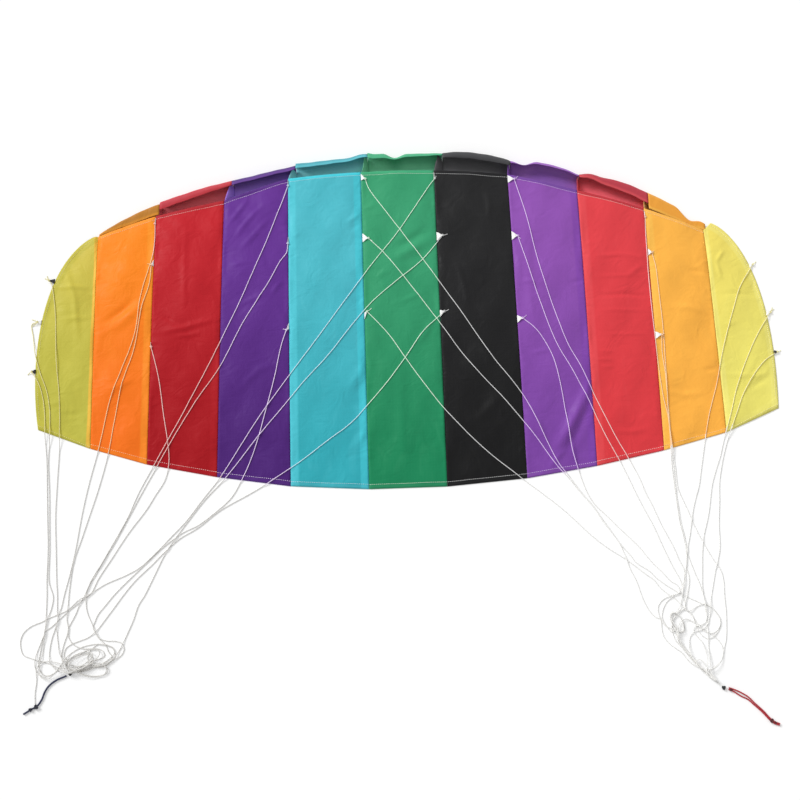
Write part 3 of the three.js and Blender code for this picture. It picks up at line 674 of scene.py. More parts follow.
class Shader:
    """A material under construction, with short calls for the nodes that the finishes share."""

    def __init__(self, name: str) -> None:
        """Starts an empty material with its surface shader.

        Args:
            name: the material's name.
        """
        self.material = bpy.data.materials.new(name)
        self.material.use_nodes = True
        self.nodes = self.material.node_tree.nodes
        self.links = self.material.node_tree.links
        self.nodes.clear()
        self.output = self.nodes.new("ShaderNodeOutputMaterial")
        self.surface = self.nodes.new("ShaderNodeBsdfPrincipled")
        self.links.new(self.surface.outputs[0], self.output.inputs["Surface"])
        self.place = self.nodes.new("ShaderNodeTexCoord").outputs["Object"]

    def put(self, socket: Socket, value: Value) -> None:
        """Links a socket to another, or sets its plain value.

        Args:
            socket: the input.
            value: an output, or a plain number or colour.
        """
        if isinstance(value, Socket):
            self.links.new(value, socket)
        else:
            socket.default_value = value

    def node(self, kind: str, inputs: dict[str | int, Value], **settings: str) -> bpy.types.ShaderNode:
        """Adds a node.

        Args:
            kind: what its type's name ends in.
            inputs: what goes to its inputs, by their names or numbers.
            settings: its other settings.

        Returns:
            The node.
        """
        node = self.nodes.new(f"ShaderNode{kind}")
        for key, value in settings.items():
            setattr(node, key, value)
        for key, value in inputs.items():
            self.put(node.inputs[key], value)
        return node

    def finish(self, inputs: dict[str, Value]) -> Material:
        """Gives the surface's inputs their values, by name, and gives the material.

        Args:
            inputs: what goes to each input.

        Returns:
            The finished material.
        """
        for key, value in inputs.items():
            self.put(self.surface.inputs[key], value)
        return self.material

    def maths(self, kind: str, *values: Value) -> Socket:
        """The result of a Math node."""
        return self.node("Math", dict(enumerate(values)), operation=kind).outputs[0]

    def noise(self, size: float, detail: float = 2.0, twist: float = 0.0,
              stretch: tuple[float, float, float] = (1, 1, 1)) -> Socket:
        """Makes noise from 0 to 1.

        Args:
            size: how far across its blots are, in metres.
            detail: how many finer layers it has.
            twist: how far it is distorted.
            stretch: scale of the pattern along each axis.

        Returns:
            The noise.
        """
        spot = self.node("Mapping", {"Vector": self.place, "Scale": stretch}).outputs[0]
        values = {"Vector": spot, "Scale": 1 / size, "Detail": detail, "Distortion": twist}
        return self.node("TexNoise", values).outputs["Fac"]

    def attribute(self, side: Side) -> Socket:
        """How far each point of a panel is from one of its edges, in metres."""
        return self.node("Attribute", {}, attribute_name=side.value).outputs["Fac"]

    def mix(self, share: Value, first: Value, second: Value) -> Socket:
        """A colour between two."""
        return self.node("Mix", {"Factor": share, 6: first, 7: second}, data_type="RGBA").outputs[2]

    def ramp(self, value: Value, low: float, high: float, start: float = 0.0, end: float = 1.0) -> Socket:
        """Maps low..high to start..end, smoothly, and holds it there."""
        inputs = {"Value": value, "From Min": low, "From Max": high, "To Min": start, "To Max": end}
        return self.node("MapRange", inputs, interpolation_type="SMOOTHSTEP").outputs[0]

    def axis(self, index: int) -> Socket:
        """One of the three object coordinates."""
        return self.node("SeparateXYZ", {0: self.place}).outputs[index]

    def bump(self, height: Value, depth: float, under: Socket | None = None) -> Socket:
        """Raises the surface by height times depth metres, on top of another bump."""
        inputs = {"Distance": depth, "Height": height} | ({} if under is None else {"Normal": under})
        return self.node("Bump", inputs).outputs[0]


@dataclass(frozen=True)
class Band:
    """A strip along one edge of a panel, of doubled cloth or of painted shade; its width and blur in
    millimetres.
    """

    side: Side
    width: float
    amount: float
    blur: float = 2.6
    tint: str = ""


@dataclass(frozen=True)
class ClothFinish:
    """Ripstop nylon: close weave, a faint grid of thicker threads, crinkles and doubled edges, with painted
    shade towards the trailing edge and painted light deep in the mouth.
    """

    slot: str
    rear: str
    front: str
    doubled: str
    bands: tuple[Band, ...] = ()
    inner: str = ""
    painted_light_from: tuple[float, float] = (0.022, 0.05)  # how deep in the mouth the painted light of the inner colour begins and is full
    roughness: float = 0.5
    uneven: float = 0.06  # how far the roughness strays
    gloss: float = 0.12
    sheen: float = 0.03
    blot: float = 0.055  # size of the darker blots, and of the lighter streaks
    streak: float = 0.03
    grid: float = 0.0052  # spacing of the thicker threads, and how far they stand out
    thread: float = 0.00003
    fold: tuple[float, float] = (0.034, 0.0016)  # size and height of the slow folds
    crinkle: tuple[float, float] = (0.009, 0.00022)

    def material(self, name: str) -> Material:
        """Makes the material.

        Args:
            name: its name.

        Returns:
            The material.
        """
        shader = Shader(name)
        # Painted shade: the colour runs from the darker rear colour at the trailing edge to the front colour
        # half a metre in.
        shade = shader.ramp(shader.attribute(Side.REAR), 0.0, 0.5)
        colour = shader.mix(shade, linear(self.rear), linear(self.front))
        # Painted light: deep in the mouth the cloth turns to the lighter inner colour, standing in for light
        # through the thin cloth.
        if self.inner:
            painted_light_share = shader.ramp(shader.attribute(Side.FRONT), *self.painted_light_from)
            colour = shader.mix(painted_light_share, colour, linear(self.inner))
        dark, light = linear(self.rear), linear(self.doubled)
        blot = shader.noise(self.blot, 3.0, 0.8)
        colour = shader.mix(shader.ramp(blot, 0.42, 0.75, 0.0, 0.12), colour, dark)
        streak = shader.noise(self.streak, 4.0, 1.4, (1.0, 0.35, 1.0))
        colour = shader.mix(shader.ramp(streak, 0.5, 0.8, 0.0, 0.08), colour, light)
        for band in self.bands:
            edge = shader.attribute(band.side)
            low, high = (band.width - band.blur) * MM, (band.width + band.blur) * MM
            inside = shader.ramp(edge, low, high, band.amount, 0.0)
            colour = shader.mix(inside, colour, linear(band.tint) if band.tint else light)
        threads = self.threads(shader)
        colour = shader.mix(shader.maths("MULTIPLY", threads, 0.03), colour, light)
        rough = (self.roughness - self.uneven, self.roughness + self.uneven)
        folds = shader.bump(shader.noise(self.fold[0], 2.0, 1.2), self.fold[1])
        crinkles = shader.bump(shader.noise(self.crinkle[0], 2.0, 0.4), self.crinkle[1], folds)
        return shader.finish({
            "Base Color": colour,
            "Roughness": shader.ramp(shader.noise(0.02, 2.0), 0.3, 0.7, *rough),
            "Specular IOR Level": self.gloss,
            "Sheen Weight": self.sheen,
            "Sheen Roughness": 0.5,
            "Normal": shader.bump(threads, self.thread, crinkles),
        })

    def threads(self, shader: Shader) -> Socket:
        """Makes the ripstop grid.

        Args:
            shader: the cloth's shader.

        Returns:
            1 on its thicker threads, 0 between them.
        """
        masks = []
        for index in (0, 1):
            saw = shader.maths("PINGPONG", shader.axis(index), self.grid / 2)
            masks.append(shader.ramp(saw, 0.0002, 0.0005, 1.0, 0.0))
        return shader.maths("MAXIMUM", *masks)


@dataclass(frozen=True)
class TapeFinish:
    """Woven tape: fine ribs across it and slight dirt in blots all over."""

    slot: str
    colour: str
    soiled: str
    blot: float = 0.004
    rib: float = 0.0009

    def material(self, name: str) -> Material:
        """Makes the material.

        Args:
            name: its name.

        Returns:
            The material.
        """
        shader = Shader(name)
        dirt_and_groove_shade = shader.ramp(shader.noise(self.blot, 3.0), 0.45, 0.8, 0.0, 0.7)
        ribs = shader.maths("PINGPONG", shader.axis(1), self.rib / 2)
        return shader.finish({
            "Base Color": shader.mix(dirt_and_groove_shade, linear(self.colour), linear(self.soiled)),
            "Roughness": 0.75,
            "Sheen Weight": 0.2,
            "Normal": shader.bump(ribs, 0.4),
        })


@dataclass(frozen=True)
class CordFinish:
    """Braided cord: strands that cross at a slant, with a soft fibre surface and painted shade between the
    strands.
    """

    slot: str
    colour: str
    # shade: the colour of the painted shade in the braid's grooves
    shade: str
    right: str = ""  # colour of the right half, where it differs: painted lighter than the greyer left, as painted light and shade
    over: tuple[str, ...] = ()  # painted tints over the cells, from the left: the coloured light of the cloth under the cord
    over_groove_shade: float = 0.25  # share of the painted groove shade that shows there
    blend: float = 2.0  # half width, in millimetres, of the change from tint to tint
    braid: float = 0.0016
    roughness: float = 0.7
    shore: float = -0.322  # where the cloth ends at x = 0, in metres
    shore_bend: float = 0.3  # how its edge curves forward from there
    shore_blur: float = 0.003

    def material(self, name: str) -> Material:
        """Makes the material.

        Args:
            name: its name.

        Returns:
            The material.
        """
        shader = Shader(name)
        x, y = shader.axis(0), shader.axis(1)
        one = shader.maths("PINGPONG", shader.maths("ADD", x, y), self.braid / 2)
        other = shader.maths("PINGPONG", shader.maths("SUBTRACT", x, y), self.braid / 2)
        braid = shader.maths("MULTIPLY", shader.maths("MAXIMUM", one, other), 2 / self.braid)
        fibres = shader.noise(0.0008, 2.0)
        # Painted shade along the braid's grooves, broken up by the fibres.
        mark = shader.maths("MULTIPLY", shader.ramp(braid, 0.6, 1.0), shader.ramp(fibres, 0.3, 0.7))
        colour = linear(self.colour)
        if self.right:
            colour = shader.mix(shader.ramp(x, -0.2, 0.2), colour, linear(self.right))
        if self.over:
            colour = self.tinted(shader, colour, x, y)
        # How much of the painted groove shade shows: less over the cloth.
        dirt_and_groove_shade = shader.maths("MULTIPLY", mark, self.over_groove_shade if self.over else 1.0)
        return shader.finish({
            "Base Color": shader.mix(dirt_and_groove_shade, colour, linear(self.shade)),
            "Roughness": self.roughness,
            "Sheen Weight": 0.15,
            "Normal": shader.bump(braid, 0.0002),
        })

    def tinted(self, shader: Shader, colour: Value, x: Socket, y: Socket) -> Socket:
        """Paints the cloth's coloured light on the cord where it lies on the kite.

        Args:
            shader: the cord's shader.
            colour: the cord on the floor.
            x: place along the span.
            y: place along the chord.

        Returns:
            The tinted colour.
        """
        glow = linear(self.over[0])
        for seam, tint in zip(SEAMS, self.over[1:], strict=True):
            middle = (seam.front[0] + seam.rear[0]) / 2 + SHIFT[0]
            beyond = shader.ramp(x, (middle - self.blend) * MM, (middle + self.blend) * MM)
            glow = shader.mix(beyond, glow, linear(tint))
        shore = shader.maths("MULTIPLY_ADD", shader.maths("MULTIPLY", x, x), self.shore_bend, self.shore)
        inland = shader.ramp(shader.maths("SUBTRACT", y, shore), -self.shore_blur, self.shore_blur)
        return shader.mix(inland, colour, glow)


@dataclass(frozen=True)
class FloorFinish:
    """A pale matt surface that reads as white to the camera and keeps the kite's shadow."""

    colour: tuple[float, float, float, float] = (0.82, 0.82, 0.82, 1.0)
    grain: float = 0.985  # how much darker its blots are
    lift: float = 0.225

    def material(self, name: str) -> Material:
        """Makes the material.

        Args:
            name: its name.

        Returns:
            The material.
        """
        shader = Shader(name)
        darker = tuple(self.grain * c for c in self.colour[:3]) + (1.0,)
        rays = shader.node("LightPath", {}).outputs
        seen = shader.maths("MAXIMUM", rays["Is Camera Ray"], rays["Is Glossy Ray"])
        seen = shader.maths("MAXIMUM", seen, rays["Is Transmission Ray"])
        return shader.finish({
            "Base Color": shader.mix(shader.noise(0.4, 2.0), self.colour, darker),
            "Roughness": 0.9,
            "Specular IOR Level": 0.0,
            "Emission Color": (1, 1, 1, 1),
            "Emission Strength": shader.maths("MULTIPLY", seen, self.lift),
        })


# ---- Cloth pieces -----------------------------------------------------------------------------


@dataclass
class ClothSheet:
    """A grid of cloth that a function lays in place, with a real thickness."""

    name: str
    across: int
    along: int
    thickness: float
    side: float = -1.0

    def build(self, place: Callable[[Array, Array], Laid], material: Material) -> Piece:
        """Makes the sheet.

        Args:
            place: takes u across and v along, both from 0 to 1, and gives the points in the
                kite's millimetres and the numbers that each point carries.
            material: the cloth.

        Returns:
            The object.
        """
        net = bmesh.new()
        bmesh.ops.create_grid(net, x_segments=self.across, y_segments=self.along, size=0.5)
        mesh = mesh_of(net, self.name, material)
        flat = np.zeros(len(mesh.vertices) * 3, np.float32)
        mesh.vertices.foreach_get("co", flat)
        flat = flat.reshape(-1, 3).astype(float) + 0.5
        points, numbers = place(flat[:, 0], flat[:, 1])
        mesh.vertices.foreach_set("co", to_frame(points).astype(np.float32).ravel())
        for key, values in numbers.items():
            carried = mesh.attributes.new(key, "FLOAT", "POINT")
            carried.data.foreach_set("value", (np.asarray(values, float) * MM).astype(np.float32))
        mesh.update()
        sheet = shown(bpy.data.objects.new(self.name, mesh))
        wall = sheet.modifiers.new("Cloth thickness", "SOLIDIFY")
        wall.thickness = self.thickness * MM
        wall.offset = self.side
        return sheet


@dataclass(frozen=True)
class CellCloth:
    """What one cell is cut from."""

    slot: str
    rear: str  # colours of the lower skin at the trailing edge and at the mouth; the rear one is darker on most cells, as painted shade
    front: str
    doubled: str  # colour where the cloth lies double
    bands: tuple[Band, ...]  # strips of doubled cloth along the seams, and painted shade along the left tip's outer edge
    wrap: str  # colour of the upper skin where it comes round the nose: the cell's cloth, painted darker on some cells and lighter on others than the lower skin, as painted shade and light on the lip
    inner: str  # colour of the rib, and of the upper skin deep in the mouth: both painted lighter than the cloth, as painted light in the shaded cavity
    hem: str  # colour of the hem at the mouth; on the purple, red and black cells it is darker, as painted shade where the hem rolls into the mouth

    @property
    def lower(self) -> ClothFinish:
        """The finish of the lower skin."""
        # The front band paints the hem colour, which on the purple, red and black cells is painted shade.
        hems = (Band(Side.REAR, 8.0, 0.15), Band(Side.FRONT, 5.6, 0.8, 0.8, self.hem))
        return ClothFinish(self.slot, self.rear, self.front, self.doubled, (*self.bands, *hems))

    @property
    def upper(self) -> ClothFinish:
        """The finish of the upper skin."""
        lip = (Band(Side.FRONT, 5.0, 0.4),)
        return ClothFinish(self.slot, self.wrap, self.wrap, self.doubled, lip, self.inner)

    @property
    def rib(self) -> ClothFinish:
        """The finish of the rib, in the inner colour, which is painted light."""
        return ClothFinish(self.slot, self.inner, self.inner, self.doubled)


CELLS = (
    CellCloth("cloth_left_yellow", "bfba49", "d4be4e", "e6da5a",
              # The band b4ae3a along the left tip's outer edge is painted shade that holds down the light on
              # that sloping edge.
              (Band(Side.RIGHT, 9, 0.7, 1.6, "ffbe48"), Band(Side.LEFT, 15, 0.5, 2.6, "b4ae3a")),
              "d9cf66", "d9cf66", "d4be4e"),
    CellCloth("cloth_left_orange", "f6731a", "fe8d1c", "ffa836",
              # Its wrap b87a2c is a darker ochre: painted shade of the mouth under the lip.
              (Band(Side.RIGHT, 14, 0.35),), "b87a2c", "ffb060", "fb9a34"),
    CellCloth("cloth_left_red", "a4101a", "c4222c", "c0262e",
              (Band(Side.RIGHT, 14, 0.2),), "c44650", "f87880", "b02c34"),
    CellCloth("cloth_left_purple", "4a2172", "683495", "7c4eaa",
              (), "5a3f80", "b488f4", "56317e"),
    CellCloth("cloth_turquoise", "32aab6", "50bcca", "78dcea",
              (Band(Side.RIGHT, 14, 0.7, 1.6, "46c8d6"), Band(Side.LEFT, 14, 0.6, 2.6, "58d0de")),
              "50a4b0", "a0f0f4", "46d2e1"),
    CellCloth("cloth_green", "188356", "3a9e70", "5ab88a",
              (), "4fae82", "80dcae", "46ac7c"),
    CellCloth("cloth_black", "0f0f10", "202021", "3c3c3e",
              (), "48484a", "6a6a6c", "1b1b1d"),
    # The right-hand cells are painted lighter than their left-hand twins: a painted reflection of the light
    # on that side.
    CellCloth("cloth_right_purple", "7c45a2", "9053b0", "a46cc4",
              (Band(Side.RIGHT, 14, 0.4, 2.6, "7a3fa8"),), "9e6cbc", "9060b8", "70489a"),
    CellCloth("cloth_right_red", "dc3c42", "e04249", "ee5e62",
              (Band(Side.LEFT, 14, 0.3),), "b8404c", "ff6c78", "b4343c"),
    CellCloth("cloth_right_orange", "ffb448", "ffb84c", "ffcc5e",
              (Band(Side.LEFT, 14, 0.4),), "f0a440", "ffd080", "ffbc58"),
    CellCloth("cloth_right_yellow", "ece270", "f6de66", "f8f08c",
              (Band(Side.LEFT, 14, 0.4), Band(Side.RIGHT, 15, 0.4)), "ebdd6c", "ebdd6c", "f6de66"),
)

# Painted light: what white cord and thread look like over each cell, tinted by the coloured light of the
# cloth under them.
LIT_CORD = ("e8de98", "ffd8a0", "ffccc8", "f4e0ff", "d0f4ff", "e4ffe8", "dedede", "ecccff", "ffd4d0",
            "ffd8a8", "fcf4b8")


@dataclass
class CanopyCloth:
    """Both skins and the ribs, cut and sewn cell by cell."""

    canopy: Canopy
    skin: float = 0.45
    seam_gap: float = 0.12
    lower_net: tuple[int, int] = (44, 184)
    tip_net: tuple[int, int] = (38, 132)
    upper_net: tuple[int, int] = (28, 96)
    rib_net: tuple[int, int] = (150, 7)
    tip_front: float = 30.0  # keeps a tip's front end out of the mouth's bands
    curl: float = 0.70  # shares along an upper skin at which its curl starts and ends
    turn: float = 0.90
    lip_sag: float = 0.9
    rib_start: float = 24.0
    rib_hem: float = 2.0
    rib_room: float = 0.8  # room inside the curl
    rib_reach: float = 0.97  # share of the curl that a rib reaches into
    rib_under: float = 0.9  # how far its top stays under the seam's tuck
    rib_over: float = 0.25  # how far its foot stays over the upper skin
    rib_least: float = 0.3  # least height of a rib
    rib_sway: float = 0.8
    allowance: float = 12.0
    tabs: dict[int, list[Piece]] = field(default_factory=dict)
    materials: dict[str, Material] = field(default_factory=dict)

    def dress(self, finish: ClothFinish, part: str) -> Material:
        """Gives the material of one cell's skin, made once.

        Args:
            finish: the cloth.
            part: which layer it is for.

        Returns:
            The material.
        """
        name = f"{part} {finish.slot.replace('_', ' ')}"
        if name not in self.materials:
            self.materials[name] = finish.material(name)
        return self.materials[name]

    def distances(self, left: Reals, right: Reals, rear: Reals, front: Reals) -> Fields:
        """The numbers that a panel's points carry, in millimetres from each edge."""
        return dict(zip((side.value for side in Side), (left, right, rear, front)))

    def cut(self, width: float, length: float) -> tuple[float, float]:
        """The flat size, in metres, of a panel with its seam allowances."""
        return (width + 2 * self.allowance) * MM, (length + 2 * self.allowance) * MM

    def inside(self, width: float, u: Reals) -> Reals:
        """A share across a panel of this width that stays clear of both seams."""
        return lerp(self.seam_gap / width, 1 - self.seam_gap / width, u)

    def lower_cell(self, c: int) -> None:
        """Makes the lower skin of open cell c.

        Args:
            c: number of the open cell.
        """
        number = c + 2
        finish = CELLS[number - 1].lower
        chords = (SEAMS[c].chord, SEAMS[c + 1].chord)
        width = SEAMS[c + 1].front[0] - SEAMS[c].front[0]

        def place(u: Array, v: Array) -> Laid:
            """Lays the skin over its ribs.

            Args:
                u: share across.
                v: share of the chord.

            Returns:
                The points and their distances.
            """
            s = self.inside(width, u)
            chord = lerp(*chords, s)
            points = self.canopy.lower_cell(c, s, v)
            return points, self.distances(s * width, (1 - s) * width, v * chord, (1 - v) * chord)

        sheet = ClothSheet(f"Lower_Skin_{number:02d}", *self.lower_net, self.skin)
        piece = sheet.build(place, self.dress(finish, "Lower"))
        publish(piece, (f"Lower_Panel_{number:02d}",))

    def tip_skin(self, tip: Tip, lower: bool) -> None:
        """Makes one skin of a tip.

        Args:
            tip: which tip.
            lower: whether it is the lower skin, which lies on top.
        """
        number = 1 if tip.side < 0 else len(CELLS)
        cloth = CELLS[number - 1]
        finish = cloth.lower if lower else cloth.upper

        def place(u: Array, v: Array) -> Laid:
            """Lays the skin: the lower one over the upper one, the upper one on the floor.

            Args:
                u: share across.
                v: share along the edge.

            Returns:
                The points and their distances.
            """
            outward = u if tip.side > 0 else 1 - u
            (ax, ay), (bx, by) = self.canopy.seam_point(tip.seam, v), self.canopy.tip_point(tip, v)
            reach = np.hypot(bx - ax, by - ay)
            share = lerp(self.seam_gap / reach, 1.0, outward)
            points = self.canopy.lower_tip(tip, share, v)
            if not lower:
                points[:, 2] = 0.0
                seam_x = self.canopy.upper_seam_x(tip.seam, points[:, 1])
                points[:, 0] = points[:, 0] + (seam_x - ax) * (1 - share)
            sides = (share * reach, (1 - share) * reach)[:: tip.side]
            return points, self.distances(*sides, v * tip.length, (1 - v) * tip.length + self.tip_front)

        kind = "Lower" if lower else "Upper"
        sheet = ClothSheet(f"{kind}_Skin_{number:02d}", *self.tip_net, self.skin, -1.0 if lower else 1.0)
        piece = sheet.build(place, self.dress(finish, kind))
        publish(piece, (f"{kind}_Panel_{number:02d}",))
        flat = self.cut(tip.width, tip.length)
        area = self.tip_fill(tip) * flat[0] * flat[1]

    def tip_fill(self, tip: Tip) -> float:
        """Share of its rectangle that a tip's cut fills."""
        y = np.linspace(tip.rear[1], tip.rear[1] + tip.length, 200)
        return float(np.mean(self.canopy.tip_reach(tip, y))) / tip.width

    def upper_cell(self, c: int) -> None:
        """Makes the upper skin of open cell c, flat on the floor and curled over at the nose.

        Args:
            c: number of the open cell.
        """
        number = c + 2
        finish = CELLS[number - 1].upper
        canopy, curl, turn = self.canopy, self.curl, self.turn
        width = canopy.nose_x(c + 1) - canopy.nose_x(c)

        def place(u: Array, v: Array) -> Laid:
            """Lays the skin on the floor, round the nose and back over it.

            Args:
                u: share across.
                v: share along: flat up to curl, then round up to turn, then back.

            Returns:
                The points and their distances.
            """
            s = self.inside(width, u)
            radius = lerp(canopy.curl_radius(c), canopy.curl_radius(c + 1), s)
            wrap = canopy.wrap_depth(c, s) + 0.25 * np.sin(s * 13 + c)
            ripple = 0.2 * np.sin(s * width / 5.1 + 2 * c) + 0.25 * np.sin(s * width / 12 + c)
            front = canopy.nose_y(c, s) + ripple
            rear = lerp(SEAMS[c].rear[1], SEAMS[c + 1].rear[1], s)
            bend = np.arccos(np.clip((radius - wrap) / radius, -1, 1))
            sweep = math.pi / 2 + np.where(wrap < radius, bend, math.pi / 2)
            angle = -math.pi / 2 + sweep * np.clip((v - curl) / (turn - curl), 0, 1)
            centre = front - radius
            y = centre + radius * np.cos(angle)
            z = radius + radius * np.sin(angle)
            y = np.where(v < curl, lerp(rear, centre, np.clip(v / curl, 0, 1)), y)
            back = np.clip((v - turn) / (1 - turn), 0, 1)
            fold = np.maximum(wrap - radius, 0)
            y = y - fold * back
            sag = self.lip_sag * back**2 * smooth(wrap / 14)
            z = z - sag + 0.35 * ripple * np.clip((v - curl) / 0.2, 0, 1)
            x = lerp(canopy.upper_seam_x(c, y), canopy.upper_seam_x(c + 1, y), s)
            length = (centre - rear) + radius * sweep + fold
            lip = radius * (sweep - (angle + math.pi / 2)) + fold * (1 - back)
            lip = np.where(v < curl, lip + (centre - rear) * (1 - v / curl), lip)
            points = np.stack([x, y, np.maximum(z, 0)], axis=-1)
            return points, self.distances(s * width, (1 - s) * width, length - lip, lip)

        sheet = ClothSheet(f"Upper_Skin_{number:02d}", *self.upper_net, self.skin, 1.0)
        piece = sheet.build(place, self.dress(finish, "Upper"))
        publish(piece, (f"Upper_Panel_{number:02d}",))
        middle = place(np.full(2, 0.5), np.array([0.0, 1.0]))[1]

    def nose_room(self, i: int) -> tuple[float, float]:
        """Gives the room that rib i has in the upper skin's curl.

        Args:
            i: number of the seam.

        Returns:
            The nose that it stays behind, and the curl radius that it stays inside.
        """
        canopy, spots = self.canopy, []
        if i > 0:
            share = 1 - SEAMS[i].lean / (canopy.nose_x(i) - canopy.nose_x(i - 1))
            spots += [(i - 1, 1.0), (i - 1, share)]
        if i < len(SEAMS) - 1:
            share = SEAMS[i].lean / (canopy.nose_x(i + 1) - canopy.nose_x(i))
            spots += [(i, 0.0), (i, share)]
        radii = [lerp(canopy.curl_radius(c), canopy.curl_radius(c + 1), s) for c, s in spots]
        return min(float(canopy.nose_y(c, s)) for c, s in spots), min(radii)

    def rib(self, i: int) -> None:
        """Makes rib i, leaning from the lower skin's seam down to the upper skin's.

        Args:
            i: number of the seam.
        """
        canopy, seam = self.canopy, SEAMS[i]
        finish = CELLS[i + 1].rib
        nose, radius = self.nose_room(i)
        inner = radius - self.skin - self.rib_room
        centre = nose - radius
        start, end = seam.rear[1] + self.rib_start, centre + self.rib_reach * inner
        slope = canopy.rib_slope(i)

        def place(u: Array, v: Array) -> Laid:
            """Stands the rib between the skins, its front end inside the curl.

            Args:
                u: share along.
                v: share of its height.

            Returns:
                The points and their distances.
            """
            y = lerp(start, end, u)
            t = (y - seam.rear[1]) / seam.chord
            skin = canopy.chord_rise(seam.rise, seam.mouth, t)
            half = inner * np.sqrt(np.clip(1 - np.clip((y - centre) / inner, 0, 1) ** 2, 0, 1))
            ahead = np.clip((y - seam.front[1]) / (end - seam.front[1]), 0, 1)
            top = skin - canopy.tuck - self.rib_under
            top = top - (top - radius) * ahead**seam.fall
            top = np.minimum(top, np.where(y < centre, np.inf, radius + half))
            low = np.where(y > centre, radius - half, self.skin + self.rib_over)
            low = np.minimum(low, top - self.rib_least)
            z = lerp(low, top, v)
            x = lerp(seam.rear[0], seam.front[0], t)
            sway = self.rib_sway * np.sin(y / 14 + i) * np.sin(math.pi * v)
            points = np.stack([x + slope * (skin - z) + sway, y, z], axis=-1)
            return points, self.distances((top - low) * (1 - v), (top - low) * v, y - start, end - y)

        sheet = ClothSheet(f"Rib_Cloth_{i + 1:02d}", *self.rib_net, self.skin, 0.0)
        piece = sheet.build(place, self.dress(finish, "Rib"))
        publish(piece, (f"Rib_{i + 1:02d}",))
        tall = place(np.linspace(0, 1, 200), np.zeros(200))[1][Side.LEFT.value] * math.hypot(1, slope)

    def build(self) -> None:
        """Makes every cloth piece of the canopy."""
        for tip in TIPS:
            self.tip_skin(tip, lower=False)
            self.tip_skin(tip, lower=True)
        for c in range(len(NOSES)):
            self.upper_cell(c)
            self.lower_cell(c)
        for i in range(len(SEAMS)):
            self.rib(i)


@dataclass
class HemStitches:
    """Lockstitches in white thread along the hems: one small bead of thread for each stitch."""

    canopy: Canopy
    pitch: float = 3.7
    length: float = 3.2
    width: float = 1.0
    rear_inset: float = 8.0
    front_inset: float = 6.4
    edge_inset: float = 6.0
    lift: float = 0.12
    tip_ends: Plan = (0.02, 0.98)  # shares of a tip's edge between which it is stitched

    def rows(self) -> dict[str, list[Array]]:
        """Gives the runs of stitches.

        Returns:
            Points along each run, by the name of the piece that holds it.
        """
        rear, front, edges = [], [], []
        for c in range(len(NOSES)):
            s = np.linspace(0, 1, 80)
            rear.append(self.canopy.lower_cell(c, s, np.full(80, self.rear_inset / SEAMS[c].chord)))
            front.append(self.canopy.lower_cell(c, s, np.full(80, 1 - self.front_inset / SEAMS[c].chord)))
        for tip in TIPS:
            rear.append(self.canopy.lower_tip(tip, np.linspace(0, 1, 60), np.full(60, self.tip_row(tip))))
            v = np.linspace(*self.tip_ends, 160)
            (ax, ay), (bx, by) = self.canopy.seam_point(tip.seam, v), self.canopy.tip_point(tip, v)
            edges.append(self.canopy.lower_tip(tip, 1 - self.edge_inset / np.hypot(bx - ax, by - ay), v))
        return {"Stitches_Trailing_Edge": rear, "Stitches_Mouth_Hems": front, "Stitches_Tips": edges}

    def tip_row(self, tip: Tip) -> float:
        """Share along a tip's edge at which it is the rear inset ahead of its foot."""
        return self.canopy.tip_share(tip, tip.rear[1] + self.rear_inset)

    def bead(self, net: bmesh.types.BMesh, a: Array, b: Array) -> None:
        """Adds one stitch from a to b.

        Args:
            net: the mesh that the stitches join.
            a: one end, in metres in the frame.
            b: the other end.
        """
        middle, way = Vector((a + b) / 2), Vector(b - a)
        turn = way.to_track_quat("X", "Z").to_matrix().to_4x4()
        size = Matrix.Diagonal((way.length / 2, self.width / 2 * MM, self.width / 2 * MM, 1))
        place = Matrix.Translation(middle) @ turn @ size
        bmesh.ops.create_icosphere(net, subdivisions=1, radius=1, matrix=place)

    def build(self, material: Material) -> None:
        """Sews every row.

        Args:
            material: the thread.
        """
        for name, runs in self.rows().items():
            net = bmesh.new()
            for run in runs:
                run = to_frame(run + np.array([0, 0, self.lift]))
                along = along_of(run)
                count = int(along[-1] / (self.pitch * MM))
                for k in range(count):
                    start = (k + 0.5) * along[-1] / count - self.length / 2 * MM
                    ends = [[np.interp(at, along, run[:, j]) for j in range(3)]
                            for at in (start, start + self.length * MM)]
                    self.bead(net, *np.array(ends))
            publish(bpy.data.objects.new(name, mesh_of(net, name, material)))


# ---- Bridle tabs ------------------------------------------------------------------------------


@dataclass(frozen=True)
class TabRow:
    """One bridle tab: where it is sewn in, how it lies, and the free ends at its knot."""

    edge: int
    row: str
    y: float
    apex: Plan
    base: float = 13.0
    tails: tuple[Plan, ...] = ()
    dark: bool = False


